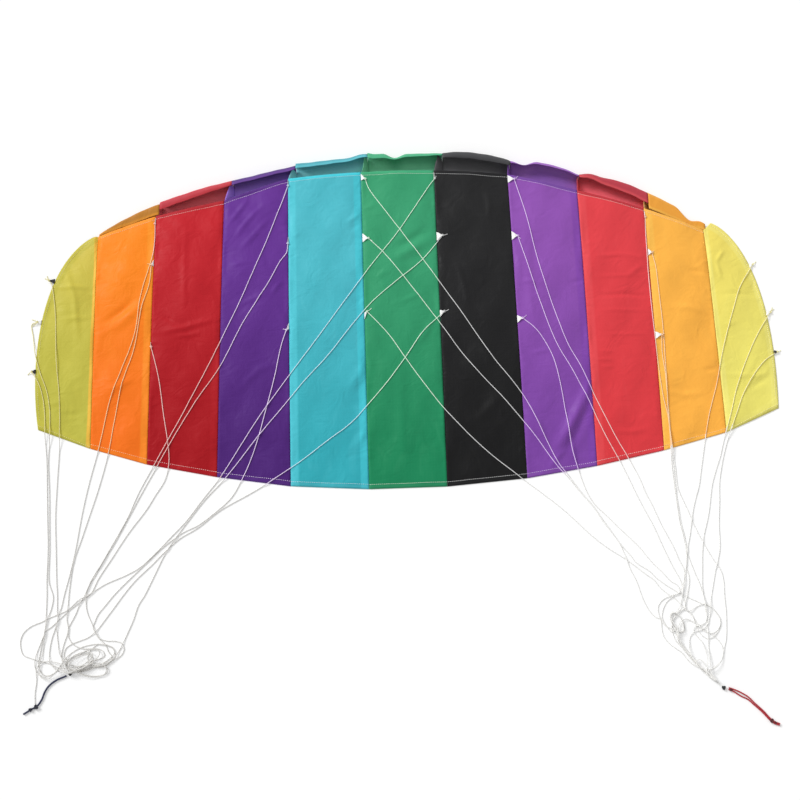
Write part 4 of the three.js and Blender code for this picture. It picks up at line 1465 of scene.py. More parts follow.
TABS = (
    TabRow(0, "A", 97, (-10, 2), 9, ((-9, 5), (-5, 10)), True),
    TabRow(0, "B", 19, (-7, 0), 8, ((-11, 6), (-10, -7))),
    TabRow(0, "C", -75, (-6, 0), 8, ((-8, -5),), True),
    TabRow(2, "A", 204, (-1, -6), 12),
    TabRow(2, "B", 120, (-4, -3), 13, ((-8, 2),)),
    TabRow(2, "C", -35, (1, -5), 10),
    TabRow(4, "A", 270, (0, -7), 12),
    TabRow(4, "B", 155, (-1, -7), 11),
    TabRow(4, "C", -10, (-5, -8), 12, ((-6, 2),)),
    TabRow(5, "A", 275, (8, -4), 13, ((-6, 3),)),
    TabRow(5, "B", 154, (11, -2), 17, ((7, -5),)),
    TabRow(5, "C", 4, (5, 8), 12, ((8, 6),)),
    TabRow(6, "A", 275, (1, -8), 12, ((3, 5),)),
    TabRow(6, "B", 152, (11, 1), 17, ((9, 2),)),
    TabRow(6, "C", 4, (8, 4), 13, ((8, 3),)),
    TabRow(7, "A", 262, (12, -1), 15, ((7, 5),)),
    TabRow(7, "B", 149, (11, -1), 17, ((5, -6),)),
    TabRow(7, "C", -11, (10, 1), 14, ((7, 5),)),
    TabRow(9, "A", 187, (1, -7), 11),
    TabRow(9, "B", 110, (7, -1), 13, ((4, 3),)),
    TabRow(9, "C", -49, (12, 1), 14, ((5, 2),)),
    TabRow(11, "A", 84, (6, 2), 9, ((7, 6),)),
    TabRow(11, "B", -9, (7, 1), 10, ((5, 10), (8, 6))),
    TabRow(11, "C", -85, (6, 1), 8, ((7, 3),), True),
)


@dataclass
class BridleTabs:
    """The tape tabs along the seams and tips, each gathered in a knot that ties its line."""

    canopy: Canopy
    thickness: float = 0.5
    tied: float = 2.2  # width of the tape where the knot gathers it
    ruffle: float = 0.7
    arch: float = 1.3
    sewn_share: float = 0.12  # share of a tab that lies in the seam
    knot: float = 2.0
    knot_rise: float = 0.75  # share of a knot's size at which its middle lies, and its clearance
    knot_clear: float = 0.3
    thread: float = 0.62
    tail_bend: float = 0.06
    net: tuple[int, int] = (10, 8)
    knots: dict[str, Piece] = field(default_factory=dict)
    sewn: dict[int, list[Piece]] = field(default_factory=dict)

    def root(self, tab: TabRow) -> Array:
        """Gives where the middle of a tab leaves the cloth.

        Args:
            tab: the tab's row.

        Returns:
            The point.
        """
        tip = next((each for each in TIPS if each.edge == tab.edge), None)
        if tip:
            share = self.canopy.tip_share(tip, tab.y)
            return self.canopy.lower_tip(tip, np.array([1.0]), np.array([share]))[0]
        seam = SEAMS[tab.edge - 1]
        share = (tab.y - seam.rear[1]) / seam.chord
        x, y = self.canopy.seam_point(tab.edge - 1, share)
        return np.array([x, y, self.canopy.chord_rise(seam.rise, seam.mouth, share) - self.canopy.tuck])

    def apex(self, tab: TabRow) -> Array:
        """Gives where a tab is gathered and tied.

        Args:
            tab: the tab's row.

        Returns:
            The point.
        """
        root = self.root(tab)
        spot = root + np.array([*tab.apex, 0])
        ground = self.canopy.ground(spot[:1], spot[1:2])[0]
        high = max(ground, root[2]) + self.knot * self.knot_rise + self.knot_clear
        return np.array([spot[0], spot[1], high])

    def build(self, tape: Material, dark: Material, cord: Material) -> None:
        """Makes every tab and its knot.

        Args:
            tape: the white tape.
            dark: the black tape.
            cord: the bridle cord.
        """
        for tab in TABS:
            root, apex = self.root(tab), self.apex(tab)
            way = apex[:2] - root[:2]
            lie = np.array([0.0 if 0 < tab.edge < len(CELLS) else 0.15, 1.0])

            def place(u: Array, v: Array) -> Laid:
                """Lays the tape from its root to its knot, ruffled where it is gathered.

                Args:
                    u: share across.
                    v: share of its length.

                Returns:
                    The points and their distances.
                """
                half = lerp(tab.base, self.tied, smooth(v) ** 0.8)
                plan = root[:2] + way * v[:, None] + (u - 0.5)[:, None] * half[:, None] * lie
                z = lerp(root[2] + 0.2, apex[2] - 0.4, v) + self.arch * np.sin(math.pi * v)
                z = z + self.ruffle * v * np.sin(u * 5.2 * math.pi)
                ground = self.canopy.ground(plan[:, 0], plan[:, 1])
                z = np.where(v > self.sewn_share, np.maximum(z, ground + self.thickness + 0.1), z)
                points = np.stack([plan[:, 0], plan[:, 1], z], axis=-1)
                return points, {Side.REAR.value: v * tab.base}

            name = f"{tab.edge:02d}_{tab.row}"
            sheet = ClothSheet(f"Tab_{name}", *self.net, self.thickness, 0.0)
            cloth, slot = (dark, "tape_black") if tab.dark else (tape, "tape")
            piece = publish(sheet.build(place, cloth))
            self.sewn.setdefault(tab.edge, []).append(piece)
            self.knots[name] = self.tie(tab, apex, cord)

    def tie(self, tab: TabRow, apex: Array, cord: Material) -> Piece:
        """Makes the knot at a tab's end, with its free ends.

        Args:
            tab: the tab's row.
            apex: where the knot sits.
            cord: the bridle cord.

        Returns:
            The knot.
        """
        knot = CordPiece(f"Tab_Knot_{tab.edge:02d}_{tab.row}", self.thread)
        knot.add(CordPiece.trefoil(apex, self.knot, 0.6 * tab.y), closed=True)
        for k, tail in enumerate(tab.tails):
            out = np.array(tail, float)
            bend = np.array([-out[1], out[0]]) * (self.tail_bend if k % 2 else -self.tail_bend)
            plan = np.array([apex[:2] + 0.12 * out, apex[:2] + 0.55 * out + bend, apex[:2] + out])
            line = rounded(plan, 0.8)
            ground = self.canopy.ground(line[:, 0], line[:, 1]) + self.thread + 0.1
            fall = np.linspace(apex[2], 0, len(line))
            knot.add(np.column_stack([line, np.maximum(ground, fall)]))
        return publish(knot.build(cord))


# ---- Cords ------------------------------------------------------------------------------------


@dataclass
class CordPiece:
    """A round cord, or several runs of it that belong to one piece."""

    name: str
    radius: float
    sides: int = 1
    runs: list[tuple[Array, bool]] = field(default_factory=list)

    @staticmethod
    def trefoil(centre: Array, size: float, turn: float) -> Array:
        """The line of an overhand knot pulled tight.

        Args:
            centre: its middle.
            size: half its width.
            turn: its turn about the upright, in radians.

        Returns:
            Points round the knot.
        """
        t = np.linspace(0, 2 * math.pi, 48, endpoint=False)
        x = np.sin(t) + 2 * np.sin(2 * t)
        y = np.cos(t) - 2 * np.cos(2 * t)
        z = -np.sin(3 * t)
        c, s = math.cos(turn), math.sin(turn)
        spots = np.stack([c * x - s * y, s * x + c * y, 1.3 * z], axis=1)
        return centre + spots * size / 3

    def add(self, points: Array, closed: bool = False) -> None:
        """Adds a run of cord, in the kite's millimetres."""
        self.runs.append((np.asarray(points, float), closed))

    def build(self, material: Material) -> Piece:
        """Makes the curve object.

        Args:
            material: the cord's finish.

        Returns:
            The object, not yet shown.
        """
        curve = bpy.data.curves.new(self.name, "CURVE")
        curve.dimensions = "3D"
        curve.bevel_depth = self.radius * MM
        curve.bevel_resolution = self.sides
        curve.use_fill_caps = True
        for points, closed in self.runs:
            spline = curve.splines.new("POLY")
            spline.points.add(len(points) - 1)
            spots = np.column_stack([to_frame(points), np.ones(len(points))])
            spline.points.foreach_set("co", spots.ravel())
            spline.use_cyclic_u = closed
            spline.use_smooth = True
        curve.materials.append(material)
        return bpy.data.objects.new(self.name, curve)


@dataclass
class LineBed:
    """What the lines lie on: the kite or the floor, and the lines that were laid before."""

    canopy: Canopy
    diameter: float
    cell: float = 0.5
    low: Plan = (-700.0, -750.0)
    high: Plan = (680.0, 330.0)
    slope: float = 0.16  # how fast a line climbs over another
    seat: float = 0.1
    pile: float = 9.0  # how high the lines may lie over each other
    rounds: int = 5  # rounds in which a line settles over itself
    blur: float = 2.4  # rounding of its rises, in steps, and how many steps it reaches
    blur_reach: int = 4

    def __post_init__(self) -> None:
        """Starts with nothing on the bed."""
        shape = [int((b - a) / self.cell) + 1 for a, b in zip(self.low, self.high)]
        self.stack = np.zeros(shape, np.float32)

    def cells(self, plan: Array) -> Array:
        """The bed's cell of each plan point."""
        spots = ((plan - np.array(self.low)) / self.cell).astype(int)
        return np.clip(spots, 0, np.array(self.stack.shape) - 1)

    def lay(self, plan: Array, start: float) -> Array:
        """Lays a plan route on the bed, over itself where it crosses, and marks it there.

        Args:
            plan: the route, in even steps of about a millimetre.
            start: the height of its first point, where it is tied.

        Returns:
            The route with its heights.
        """
        along = along_of(plan)
        cells = self.cells(plan)
        need = self.canopy.ground(plan[:, 0], plan[:, 1]) + self.diameter / 2 + self.seat
        need = np.maximum(need, np.minimum(self.stack[cells[:, 0], cells[:, 1]], need + self.pile))
        gap = np.abs(along[:, None] - along[None, :])
        apart = np.linalg.norm(plan[:, None, :] - plan[None, :, :], axis=2)
        crossing = (apart < self.diameter) & (gap > 4 * self.diameter) & (along[:, None] > along[None, :])
        lift = np.sqrt(np.clip(self.diameter**2 - apart**2, 0, None))
        height = self.settle(need, gap)
        for _ in range(self.rounds):
            over = np.where(crossing, height[None, :] + lift, 0).max(axis=1)
            height = self.settle(np.maximum(need, np.minimum(over, need + self.pile)), gap)
        height = np.maximum(height, start - self.slope * 2 * along)
        self.mark(plan, height)
        return np.column_stack([plan, height])

    def settle(self, need: Array, gap: Array) -> Array:
        """Finds the lowest line that climbs and falls no faster than it can.

        Args:
            need: the height that each point needs.
            gap: the distance along the line from each point to each other.

        Returns:
            The heights.
        """
        eased = (need[None, :] - self.slope * gap).max(axis=1)
        spread = np.exp(-((np.arange(-self.blur_reach, self.blur_reach + 1) / self.blur) ** 2))
        padded = np.pad(eased, self.blur_reach, mode="edge")
        return np.maximum(np.convolve(padded, spread / spread.sum(), mode="valid"), need)

    def mark(self, plan: Array, height: Array) -> None:
        """Raises the bed to where the middle of a line on top of this one would lie.

        Args:
            plan: the line's route.
            height: its heights.
        """
        reach = int(self.diameter / self.cell) + 1
        for i in range(-reach, reach + 1):
            for j in range(-reach, reach + 1):
                off = self.cell * math.hypot(i, j)
                if off < self.diameter:
                    spots = self.cells(plan + self.cell * np.array([i, j]))
                    top = height + math.sqrt(self.diameter**2 - off**2)
                    np.maximum.at(self.stack, (spots[:, 0], spots[:, 1]), top.astype(np.float32))


@dataclass(frozen=True)
class Oval:
    """Loose turns of a line's slack: their middle, half sizes, tilt in degrees and number."""

    middle: Plan
    long: float
    short: float
    tilt: float
    turns: float


@dataclass(frozen=True)
class LineRow:
    """One bridle line: its tab, its side, where it passes, and how its slack is gathered."""

    edge: int
    row: str
    hand: Hand
    via: tuple[Plan, ...]
    oval: Oval | None = None
    leave: tuple[Plan, ...] = ()

    @property
    def key(self) -> str:
        """What the names of this line's pieces end in."""
        return f"{self.edge:02d}_{self.row}"

    @property
    def tab(self) -> TabRow:
        """The tab that the line is tied to."""
        return next(tab for tab in TABS if (tab.edge, tab.row) == (self.edge, self.row))


LEFT_KNOT = (-594, -611.5)
LEFT_END = (-652, -664)
RIGHT_GATHER = (499, -661)
RIGHT_KNOT = (512, -673.5)

LINES = (
    LineRow(4, "C", Hand.LEFT, (
        (-229, -48), (-241, -102), (-255, -153), (-271, -210), (-289, -259), (-304, -290), (-321, -318),
        (-345, -340), (-379, -365), (-405, -377), (-440, -402), (-470, -430), (-500, -458), (-523, -481),
        (-538, -499), (-550, -514), (-555, -526), (-558, -535), (-553, -546), (-546, -556), (-536, -565),
        (-530, -578)),
        Oval((-543, -584), 22, 19, 15, 1)),
    LineRow(6, "C", Hand.LEFT, (
        (28, -29), (-6, -76), (-39, -119), (-75, -159), (-108, -193), (-151, -224), (-199, -258),
        (-246, -288), (-286, -311), (-340, -340), (-380, -370), (-410, -387), (-438, -411), (-458, -431),
        (-487, -458), (-507, -482), (-521, -501), (-539, -525), (-549, -538), (-564, -551), (-582, -558),
        (-593, -562), (-603, -569), (-606, -582)),
        Oval((-579, -592), 24, 13, 18, 1)),
    LineRow(2, "C", Hand.LEFT, (
        (-450, -94), (-441, -162), (-434, -207), (-431, -249), (-438, -282), (-455, -310), (-469, -333),
        (-502, -377), (-529, -419), (-551, -453), (-563, -477), (-585, -494), (-603, -508), (-618, -522),
        (-629, -532), (-640, -541), (-644, -560), (-647, -578), (-649, -592), (-646, -605), (-638, -613),
        (-628, -613), (-618, -606)),
        Oval((-563, -587), 42, 19, 16, 1)),
    LineRow(4, "B", Hand.LEFT, (
        (-216, 131), (-229, 112), (-247, 78), (-271, 40), (-297, -1), (-340, -82), (-381, -140),
        (-430, -219), (-456, -264), (-477, -302), (-500, -346), (-524, -391), (-542, -421), (-556, -446),
        (-567, -465), (-571, -480), (-570, -503), (-566, -516), (-558, -533), (-552, -546), (-545, -555),
        (-533, -559), (-519, -560), (-508, -564), (-504, -572), (-507, -582), (-516, -589))),
    LineRow(4, "A", Hand.LEFT, (
        (-219, 242), (-259, 139), (-301, 43), (-340, -38), (-403, -159), (-452, -245), (-484, -304),
        (-504, -351), (-529, -396), (-546, -427), (-561, -451), (-574, -481), (-581, -493), (-588, -511),
        (-595, -525), (-600, -535), (-602, -547), (-606, -559), (-609, -571), (-610, -583), (-606, -593)),
        Oval((-556, -607), 27, 9.5, -3, 0.7)),
    LineRow(6, "B", Hand.LEFT, (
        (31, 107), (-22, 64), (-66, 27), (-145, -67), (-198, -124), (-242, -175), (-281, -221),
        (-328, -279), (-367, -320), (-397, -358), (-422, -392), (-438, -417), (-454, -450), (-470, -483),
        (-481, -501), (-489, -525), (-498, -546), (-507, -566), (-514, -579), (-520, -588), (-526, -593),
        (-535, -599), (-546, -601), (-561, -601), (-580, -604))),
    LineRow(6, "A", Hand.LEFT, (
        (50, 252), (-5, 171), (-74, 85), (-143, -8), (-197, -78), (-251, -149), (-301, -222), (-338, -278),
        (-370, -318), (-400, -357), (-427, -385), (-456, -415), (-479, -435), (-501, -447), (-540, -463),
        (-569, -481), (-584, -488), (-602, -504), (-631, -516), (-646, -523), (-664, -530), (-676, -540),
        (-681, -552), (-680, -567), (-675, -578), (-662, -584), (-647, -589), (-630, -594), (-614, -601),
        (-599, -604), (-587, -609), (-576, -613), (-562, -618), (-550, -619), (-538, -616), (-533, -610),
        (-534, -602), (-546, -596), (-568, -599))),
    LineRow(2, "A", Hand.LEFT, (
        (-459, 170), (-462, 138), (-470, 108), (-483, 60), (-493, -12), (-517, -79), (-537, -135),
        (-555, -216), (-572, -285), (-583, -341), (-592, -401), (-600, -441), (-609, -478), (-613, -498),
        (-617, -510), (-619, -521), (-623, -537), (-627, -549), (-630, -564), (-631, -581), (-629, -593),
        (-623, -599), (-616, -606))),
    LineRow(2, "B", Hand.LEFT, (
        (-468, 80), (-480, 40), (-494, -39), (-515, -103), (-529, -175), (-538, -226), (-554, -291),
        (-568, -337), (-582, -382), (-594, -420), (-599, -455), (-601, -478), (-602, -501), (-603, -521),
        (-600, -535), (-600, -546), (-598, -553), (-592, -562), (-582, -568), (-571, -571), (-560, -571),
        (-548, -572), (-540, -576), (-537, -584)),
        Oval((-580, -590), 23, 11, 24, 1)),
    LineRow(0, "A", Hand.LEFT, (
        (-651, 93), (-647, 76), (-643, 50), (-640, 21), (-636, -60), (-629, -120), (-626, -200),
        (-628, -280), (-629, -340), (-626, -400), (-623, -455), (-621, -478), (-620, -508), (-618, -519),
        (-620, -528), (-619, -544), (-617, -559), (-614, -575), (-607, -588)),
        Oval((-577, -593), 21, 10.5, 22, 1)),
    LineRow(0, "C", Hand.LEFT, (
        (-667, -97), (-659, -122), (-654, -155), (-652, -200), (-648, -240), (-645, -300), (-643, -340),
        (-640, -400), (-640, -455), (-639, -477), (-639, -500), (-640, -540), (-646, -558), (-652, -574),
        (-655, -590), (-653, -604), (-645, -613), (-634, -616), (-622, -611), (-610, -603)),
        Oval((-573, -590), 31, 12, 25, 1),
        ((-607, -597), (-620, -592), (-636, -590), (-648, -595), (-652, -606), (-651, -622), (-653, -643))),
    LineRow(0, "B", Hand.LEFT, (
        (-684, 16), (-681, -8), (-675, -44), (-664, -80), (-652, -112), (-645, -150), (-644, -200),
        (-645, -240), (-641, -300), (-639, -350), (-637, -400), (-636, -455), (-628, -481), (-631, -503),
        (-637, -520), (-640, -541), (-641, -562), (-643, -580), (-646, -592), (-646, -606), (-643, -616),
        (-635, -619), (-626, -617), (-620, -611), (-612, -605))),
    LineRow(5, "C", Hand.RIGHT, (
        (-34, -32), (-6, -76), (35, -137), (70, -183), (127, -245), (191, -300), (231, -333), (260, -358),
        (280, -378), (300, -399), (321, -419), (342, -435), (365, -451), (400, -480), (410, -488),
        (419, -501), (431, -512), (441, -519), (449, -527), (457, -536), (463, -542), (473, -556),
        (478, -564), (487, -573), (496, -581), (504, -587), (511, -594), (516, -603), (517, -613),
        (514, -624), (506, -634), (497, -641), (489, -646), (487, -651), (491, -656))),
    LineRow(5, "B", Hand.RIGHT, (
        (-41, 126), (-7, 81), (51, -1), (108, -86), (173, -163), (222, -229), (255, -280), (273, -301),
        (294, -330), (314, -356), (326, -377), (342, -401), (355, -422), (364, -446), (370, -467),
        (379, -488), (388, -520), (398, -541), (408, -552), (416, -555), (422, -566), (432, -572),
        (435, -584), (439, -594))),
    LineRow(5, "A", Hand.RIGHT, (
        (-62, 252), (-7, 167), (36, 104), (96, 10), (150, -78), (205, -156), (241, -238), (259, -277),
        (276, -300), (295, -330), (315, -357), (327, -377), (342, -401), (356, -423), (372, -443),
        (382, -457), (403, -472), (413, -483), (427, -495), (443, -506), (459, -516), (479, -526),
        (491, -532), (504, -538), (511, -545), (518, -559), (517, -569), (513, -578), (505, -586),
        (495, -591), (486, -587), (479, -578), (474, -563), (469, -549), (461, -541), (451, -541),
        (442, -549), (435, -561), (434, -571), (438, -579), (442, -586))),
    LineRow(7, "C", Hand.RIGHT, (
        (235, -35), (257, -76), (269, -126), (278, -197), (284, -252), (293, -289), (300, -315),
        (307, -334), (318, -353), (334, -370), (352, -390), (373, -412), (390, -431), (408, -456),
        (422, -471), (438, -490), (450, -499), (452, -509), (440, -517), (427, -528), (420, -542),
        (418, -555), (424, -567), (432, -577)),
        Oval((445, -563), 19, 9, -68, 1)),
    LineRow(7, "B", Hand.RIGHT, (
        (220, 107), (239, 33), (267, -57), (294, -110), (321, -171), (345, -230), (369, -279), (378, -301),
        (391, -334), (400, -356), (418, -396), (424, -413), (432, -435), (441, -458), (447, -472),
        (454, -486), (457, -501), (450, -512), (436, -516), (421, -523), (413, -534), (413, -548),
        (416, -560), (416, -572), (418, -584), (427, -597), (438, -606), (447, -613), (453, -622),
        (461, -631), (472, -638))),
    LineRow(7, "A", Hand.RIGHT, (
        (225, 197), (246, 87), (274, -19), (288, -60), (309, -103), (334, -166), (361, -228), (387, -279),
        (400, -309), (409, -336), (418, -357), (431, -392), (440, -412), (450, -435), (457, -456),
        (464, -473), (461, -492), (457, -506), (457, -518), (460, -529), (458, -538), (450, -543),
        (442, -550), (435, -560), (433, -571)),
        Oval((443, -562), 18, 10, -68, 1)),
    LineRow(9, "A", Hand.RIGHT, (
        (446, 150), (445, 110), (444, 76), (445, 0), (447, -50), (449, -105), (453, -160), (459, -200),
        (460, -256), (459, -288), (460, -317), (462, -362), (464, -391), (468, -415), (470, -441),
        (468, -463), (471, -487), (468, -505), (463, -521), (459, -533), (460, -541), (467, -543),
        (474, -539), (482, -535), (491, -532), (499, -534), (506, -540), (512, -548), (517, -558),
        (516, -569), (510, -578), (500, -582), (490, -579), (480, -571), (472, -563), (464, -558),
        (454, -557), (447, -563), (443, -574), (442, -586))),
    LineRow(9, "C", Hand.RIGHT, (
        (458, -80), (460, -120), (461, -177), (461, -230), (461, -260), (462, -291), (462, -331),
        (464, -363), (466, -392), (470, -415), (472, -442), (482, -479), (487, -493), (491, -509),
        (493, -523), (494, -541), (495, -558), (494, -574), (494, -591), (493, -608), (493, -624),
        (492, -636), (492, -648))),
    LineRow(9, "B", Hand.RIGHT, (
        (458, 85), (461, 14), (463, -59), (461, -135), (460, -219), (463, -261), (465, -291), (466, -328),
        (474, -353), (482, -375), (488, -394), (502, -427), (515, -454), (527, -475), (530, -493),
        (529, -519), (529, -545), (527, -573), (524, -594), (518, -611), (513, -626), (506, -635),
        (497, -641), (487, -643), (478, -641), (471, -636), (469, -629), (474, -625), (480, -629),
        (484, -638), (487, -646))),
    LineRow(11, "A", Hand.RIGHT, (
        (612, 40), (596, 0), (570, -75), (552, -141), (534, -195), (520, -253), (510, -297), (503, -327),
        (495, -349), (488, -372), (483, -395), (479, -413), (473, -435), (467, -470), (464, -490),
        (458, -506), (455, -520), (450, -535)),
        Oval((443, -562), 19, 8.5, -68, 1)),
    LineRow(11, "B", Hand.RIGHT, (
        (637, -48), (611, -96), (587, -151), (571, -200), (559, -234), (546, -274), (535, -301),
        (527, -324), (521, -351), (516, -374), (510, -394), (502, -420), (498, -445), (495, -474),
        (493, -495), (492, -515), (495, -538), (495, -554), (491, -564), (482, -568), (473, -570),
        (470, -577), (475, -586), (482, -596), (486, -608), (488, -621), (487, -634))),
    LineRow(11, "C", Hand.RIGHT, (
        (644, -100), (621, -126), (599, -160), (581, -200), (564, -240), (552, -274), (545, -299),
        (540, -322), (537, -353), (532, -393), (529, -438), (517, -478), (512, -497), (506, -520),
        (503, -534), (501, -550), (497, -562), (491, -571), (482, -576), (472, -578), (465, -584),
        (461, -595), (460, -608))),
)


@dataclass
class Bridle:
    """The 24 bridle lines, from their tabs to the tow loops."""

    canopy: Canopy
    tabs: BridleTabs
    diameter: float = 1.5
    step: float = 1.2
    keep: int = 2  # every so many steps of a line are kept
    samples: int = 14
    enter: float = 0.5  # turns, in radians, by which a line enters and leaves its slack
    exit: float = 0.6
    stray: Plan = (0.05, 0.09)  # how uneven the turns are along and across
    grow: Plan = (0.05, -0.06)  # how their size drifts from the first to the last
    veer: float = 0.09  # how their tilt drifts, and how far their middle moves
    slide: float = 1.5
    bundle: tuple[Plan, ...] = ((444, -594), (453, -609), (463, -623), (474, -637), (485, -648), (493, -656))
    across: Plan = (0.8, 0.6)  # which way the lines lie side by side in the bundle
    apart: float = 0.45  # their spacing there
    gathered: float = 0.3  # share of it where they are tied together
    ahead: float = 6.0  # how far ahead a line joins it

    def oval(self, oval: Oval, before: Array, start: Array, goal: Array) -> Array:
        """Points round the loose turns of a line's slack, entered and left along their way.

        Args:
            oval: the turns.
            before: where the line was a little earlier.
            start: where the line comes from.
            goal: where it goes next.

        Returns:
            Plan points.
        """
        tilt, middle = math.radians(oval.tilt), np.array(oval.middle)

        def angle_of(point: Array) -> float:
            """Gives the angle round the oval at which a point lies.

            Args:
                point: a plan point.

            Returns:
                The angle, in radians.
            """
            off = point - middle
            across = off[0] * math.cos(tilt) + off[1] * math.sin(tilt)
            up = -off[0] * math.sin(tilt) + off[1] * math.cos(tilt)
            return math.atan2(up / oval.short, across / oval.long)

        off, heading = start - middle, start - before
        way = 1 if off[0] * heading[1] - off[1] * heading[0] > 0 else -1
        first = angle_of(start) + way * self.enter
        rest = (way * (angle_of(goal) - way * self.exit - first)) % (2 * math.pi)
        whole = rest + 2 * math.pi * max(0, round(oval.turns - rest / (2 * math.pi)))
        count = max(5, round(whole / (2 * math.pi) * self.samples))
        angle = first + way * np.linspace(0, whole, count)
        drift = np.linspace(-1, 1, count)
        wide = oval.long * (1 + self.stray[0] * np.sin(1.7 * angle) + self.grow[0] * drift)
        narrow = oval.short * (1 + self.stray[1] * np.sin(1.3 * angle + 2) + self.grow[1] * drift)
        a, b = wide * np.cos(angle), narrow * np.sin(angle)
        turned = tilt + self.veer * drift
        x = oval.middle[0] + a * np.cos(turned) - b * np.sin(turned) + self.slide * drift
        y = oval.middle[1] + a * np.sin(turned) + b * np.cos(turned) - self.slide * drift
        return np.stack([x, y], axis=1)

    def plan(self, line: LineRow, index: int) -> Array:
        """A line's plan route, from its knot to its tow loop.

        Args:
            line: the line's row.
            index: its number, which sets its place in the bundle.

        Returns:
            Plan points in even steps.
        """
        points = [self.tabs.apex(line.tab)[:2], *line.via]
        if line.oval:
            goal = line.leave[0] if line.leave else self.bundle[0] if line.hand is Hand.RIGHT else LEFT_KNOT
            points += list(self.oval(line.oval, *(np.array(p, float) for p in (*points[-2:], goal))))
        points += line.leave
        if line.hand is Hand.RIGHT:
            side = ((index * 5) % 12 - 5.5) * self.apart
            left = np.array([p for p in self.bundle if p[1] < points[-1][1] - self.ahead])
            points += [p + side * np.array(self.across) for p in left]
            points.append(np.array(RIGHT_GATHER) + self.gathered * side * np.array(self.across))
        else:
            points.append(np.array(LEFT_END if line.leave else LEFT_KNOT, float))
        return rounded(np.array([np.asarray(p, float) for p in points]), self.step)

    def build(self, material: Material) -> None:
        """Lays every line, in the order in which they cross.

        Args:
            material: the bridle cord.
        """
        bed = LineBed(self.canopy, self.diameter)
        for index, line in enumerate(LINES):
            route = bed.lay(self.plan(line, index), self.tabs.apex(line.tab)[2])
            cord = CordPiece(f"Line_{line.key}", self.diameter / 2)
            thinned = np.concatenate([route[: -1 : self.keep], route[-1:]])
            cord.add(thinned)
            hank = f"Line_Hank_{line.hand.value.title()}"
            piece = publish(cord.build(material), (f"Bridle_Line_{line.key}", hank))


@dataclass(frozen=True)
class TowRow:
    """One tow loop: its route, how many strands it has and the knots on it."""

    name: str
    node: str
    slot: str
    path: tuple[Plan, ...]
    strands: int
    radius: float
    knots: tuple[tuple[float, float, float, bool], ...]


TOWS = (
    TowRow("Tow_Cord_Blue", "Tow_Loop_Blue", "tow_blue", (
        (-600.5, -615), (-607, -617.5), (-616, -621), (-629, -630), (-636, -640), (-641, -653),
        (-648, -663), (-657, -668), (-671, -676)), 1, 1.6,
        ((-594, -611.5, 3.2, True), (-650, -665, 3.4, False), (-659, -669, 2.8, False))),
    TowRow("Tow_Cord_Red", "Tow_Loop_Red", "tow_red", (
        (520, -675), (525, -677), (532, -680.5), (541, -686), (551, -692), (561, -702),
        (574, -715), (584, -727), (591, -733), (600, -737)), 2, 1.25,
        ((512, -673.5, 3.0, True), (524, -677, 2.6, False), (587, -730, 3.2, False),
         (593, -734, 2.4, False))),
)


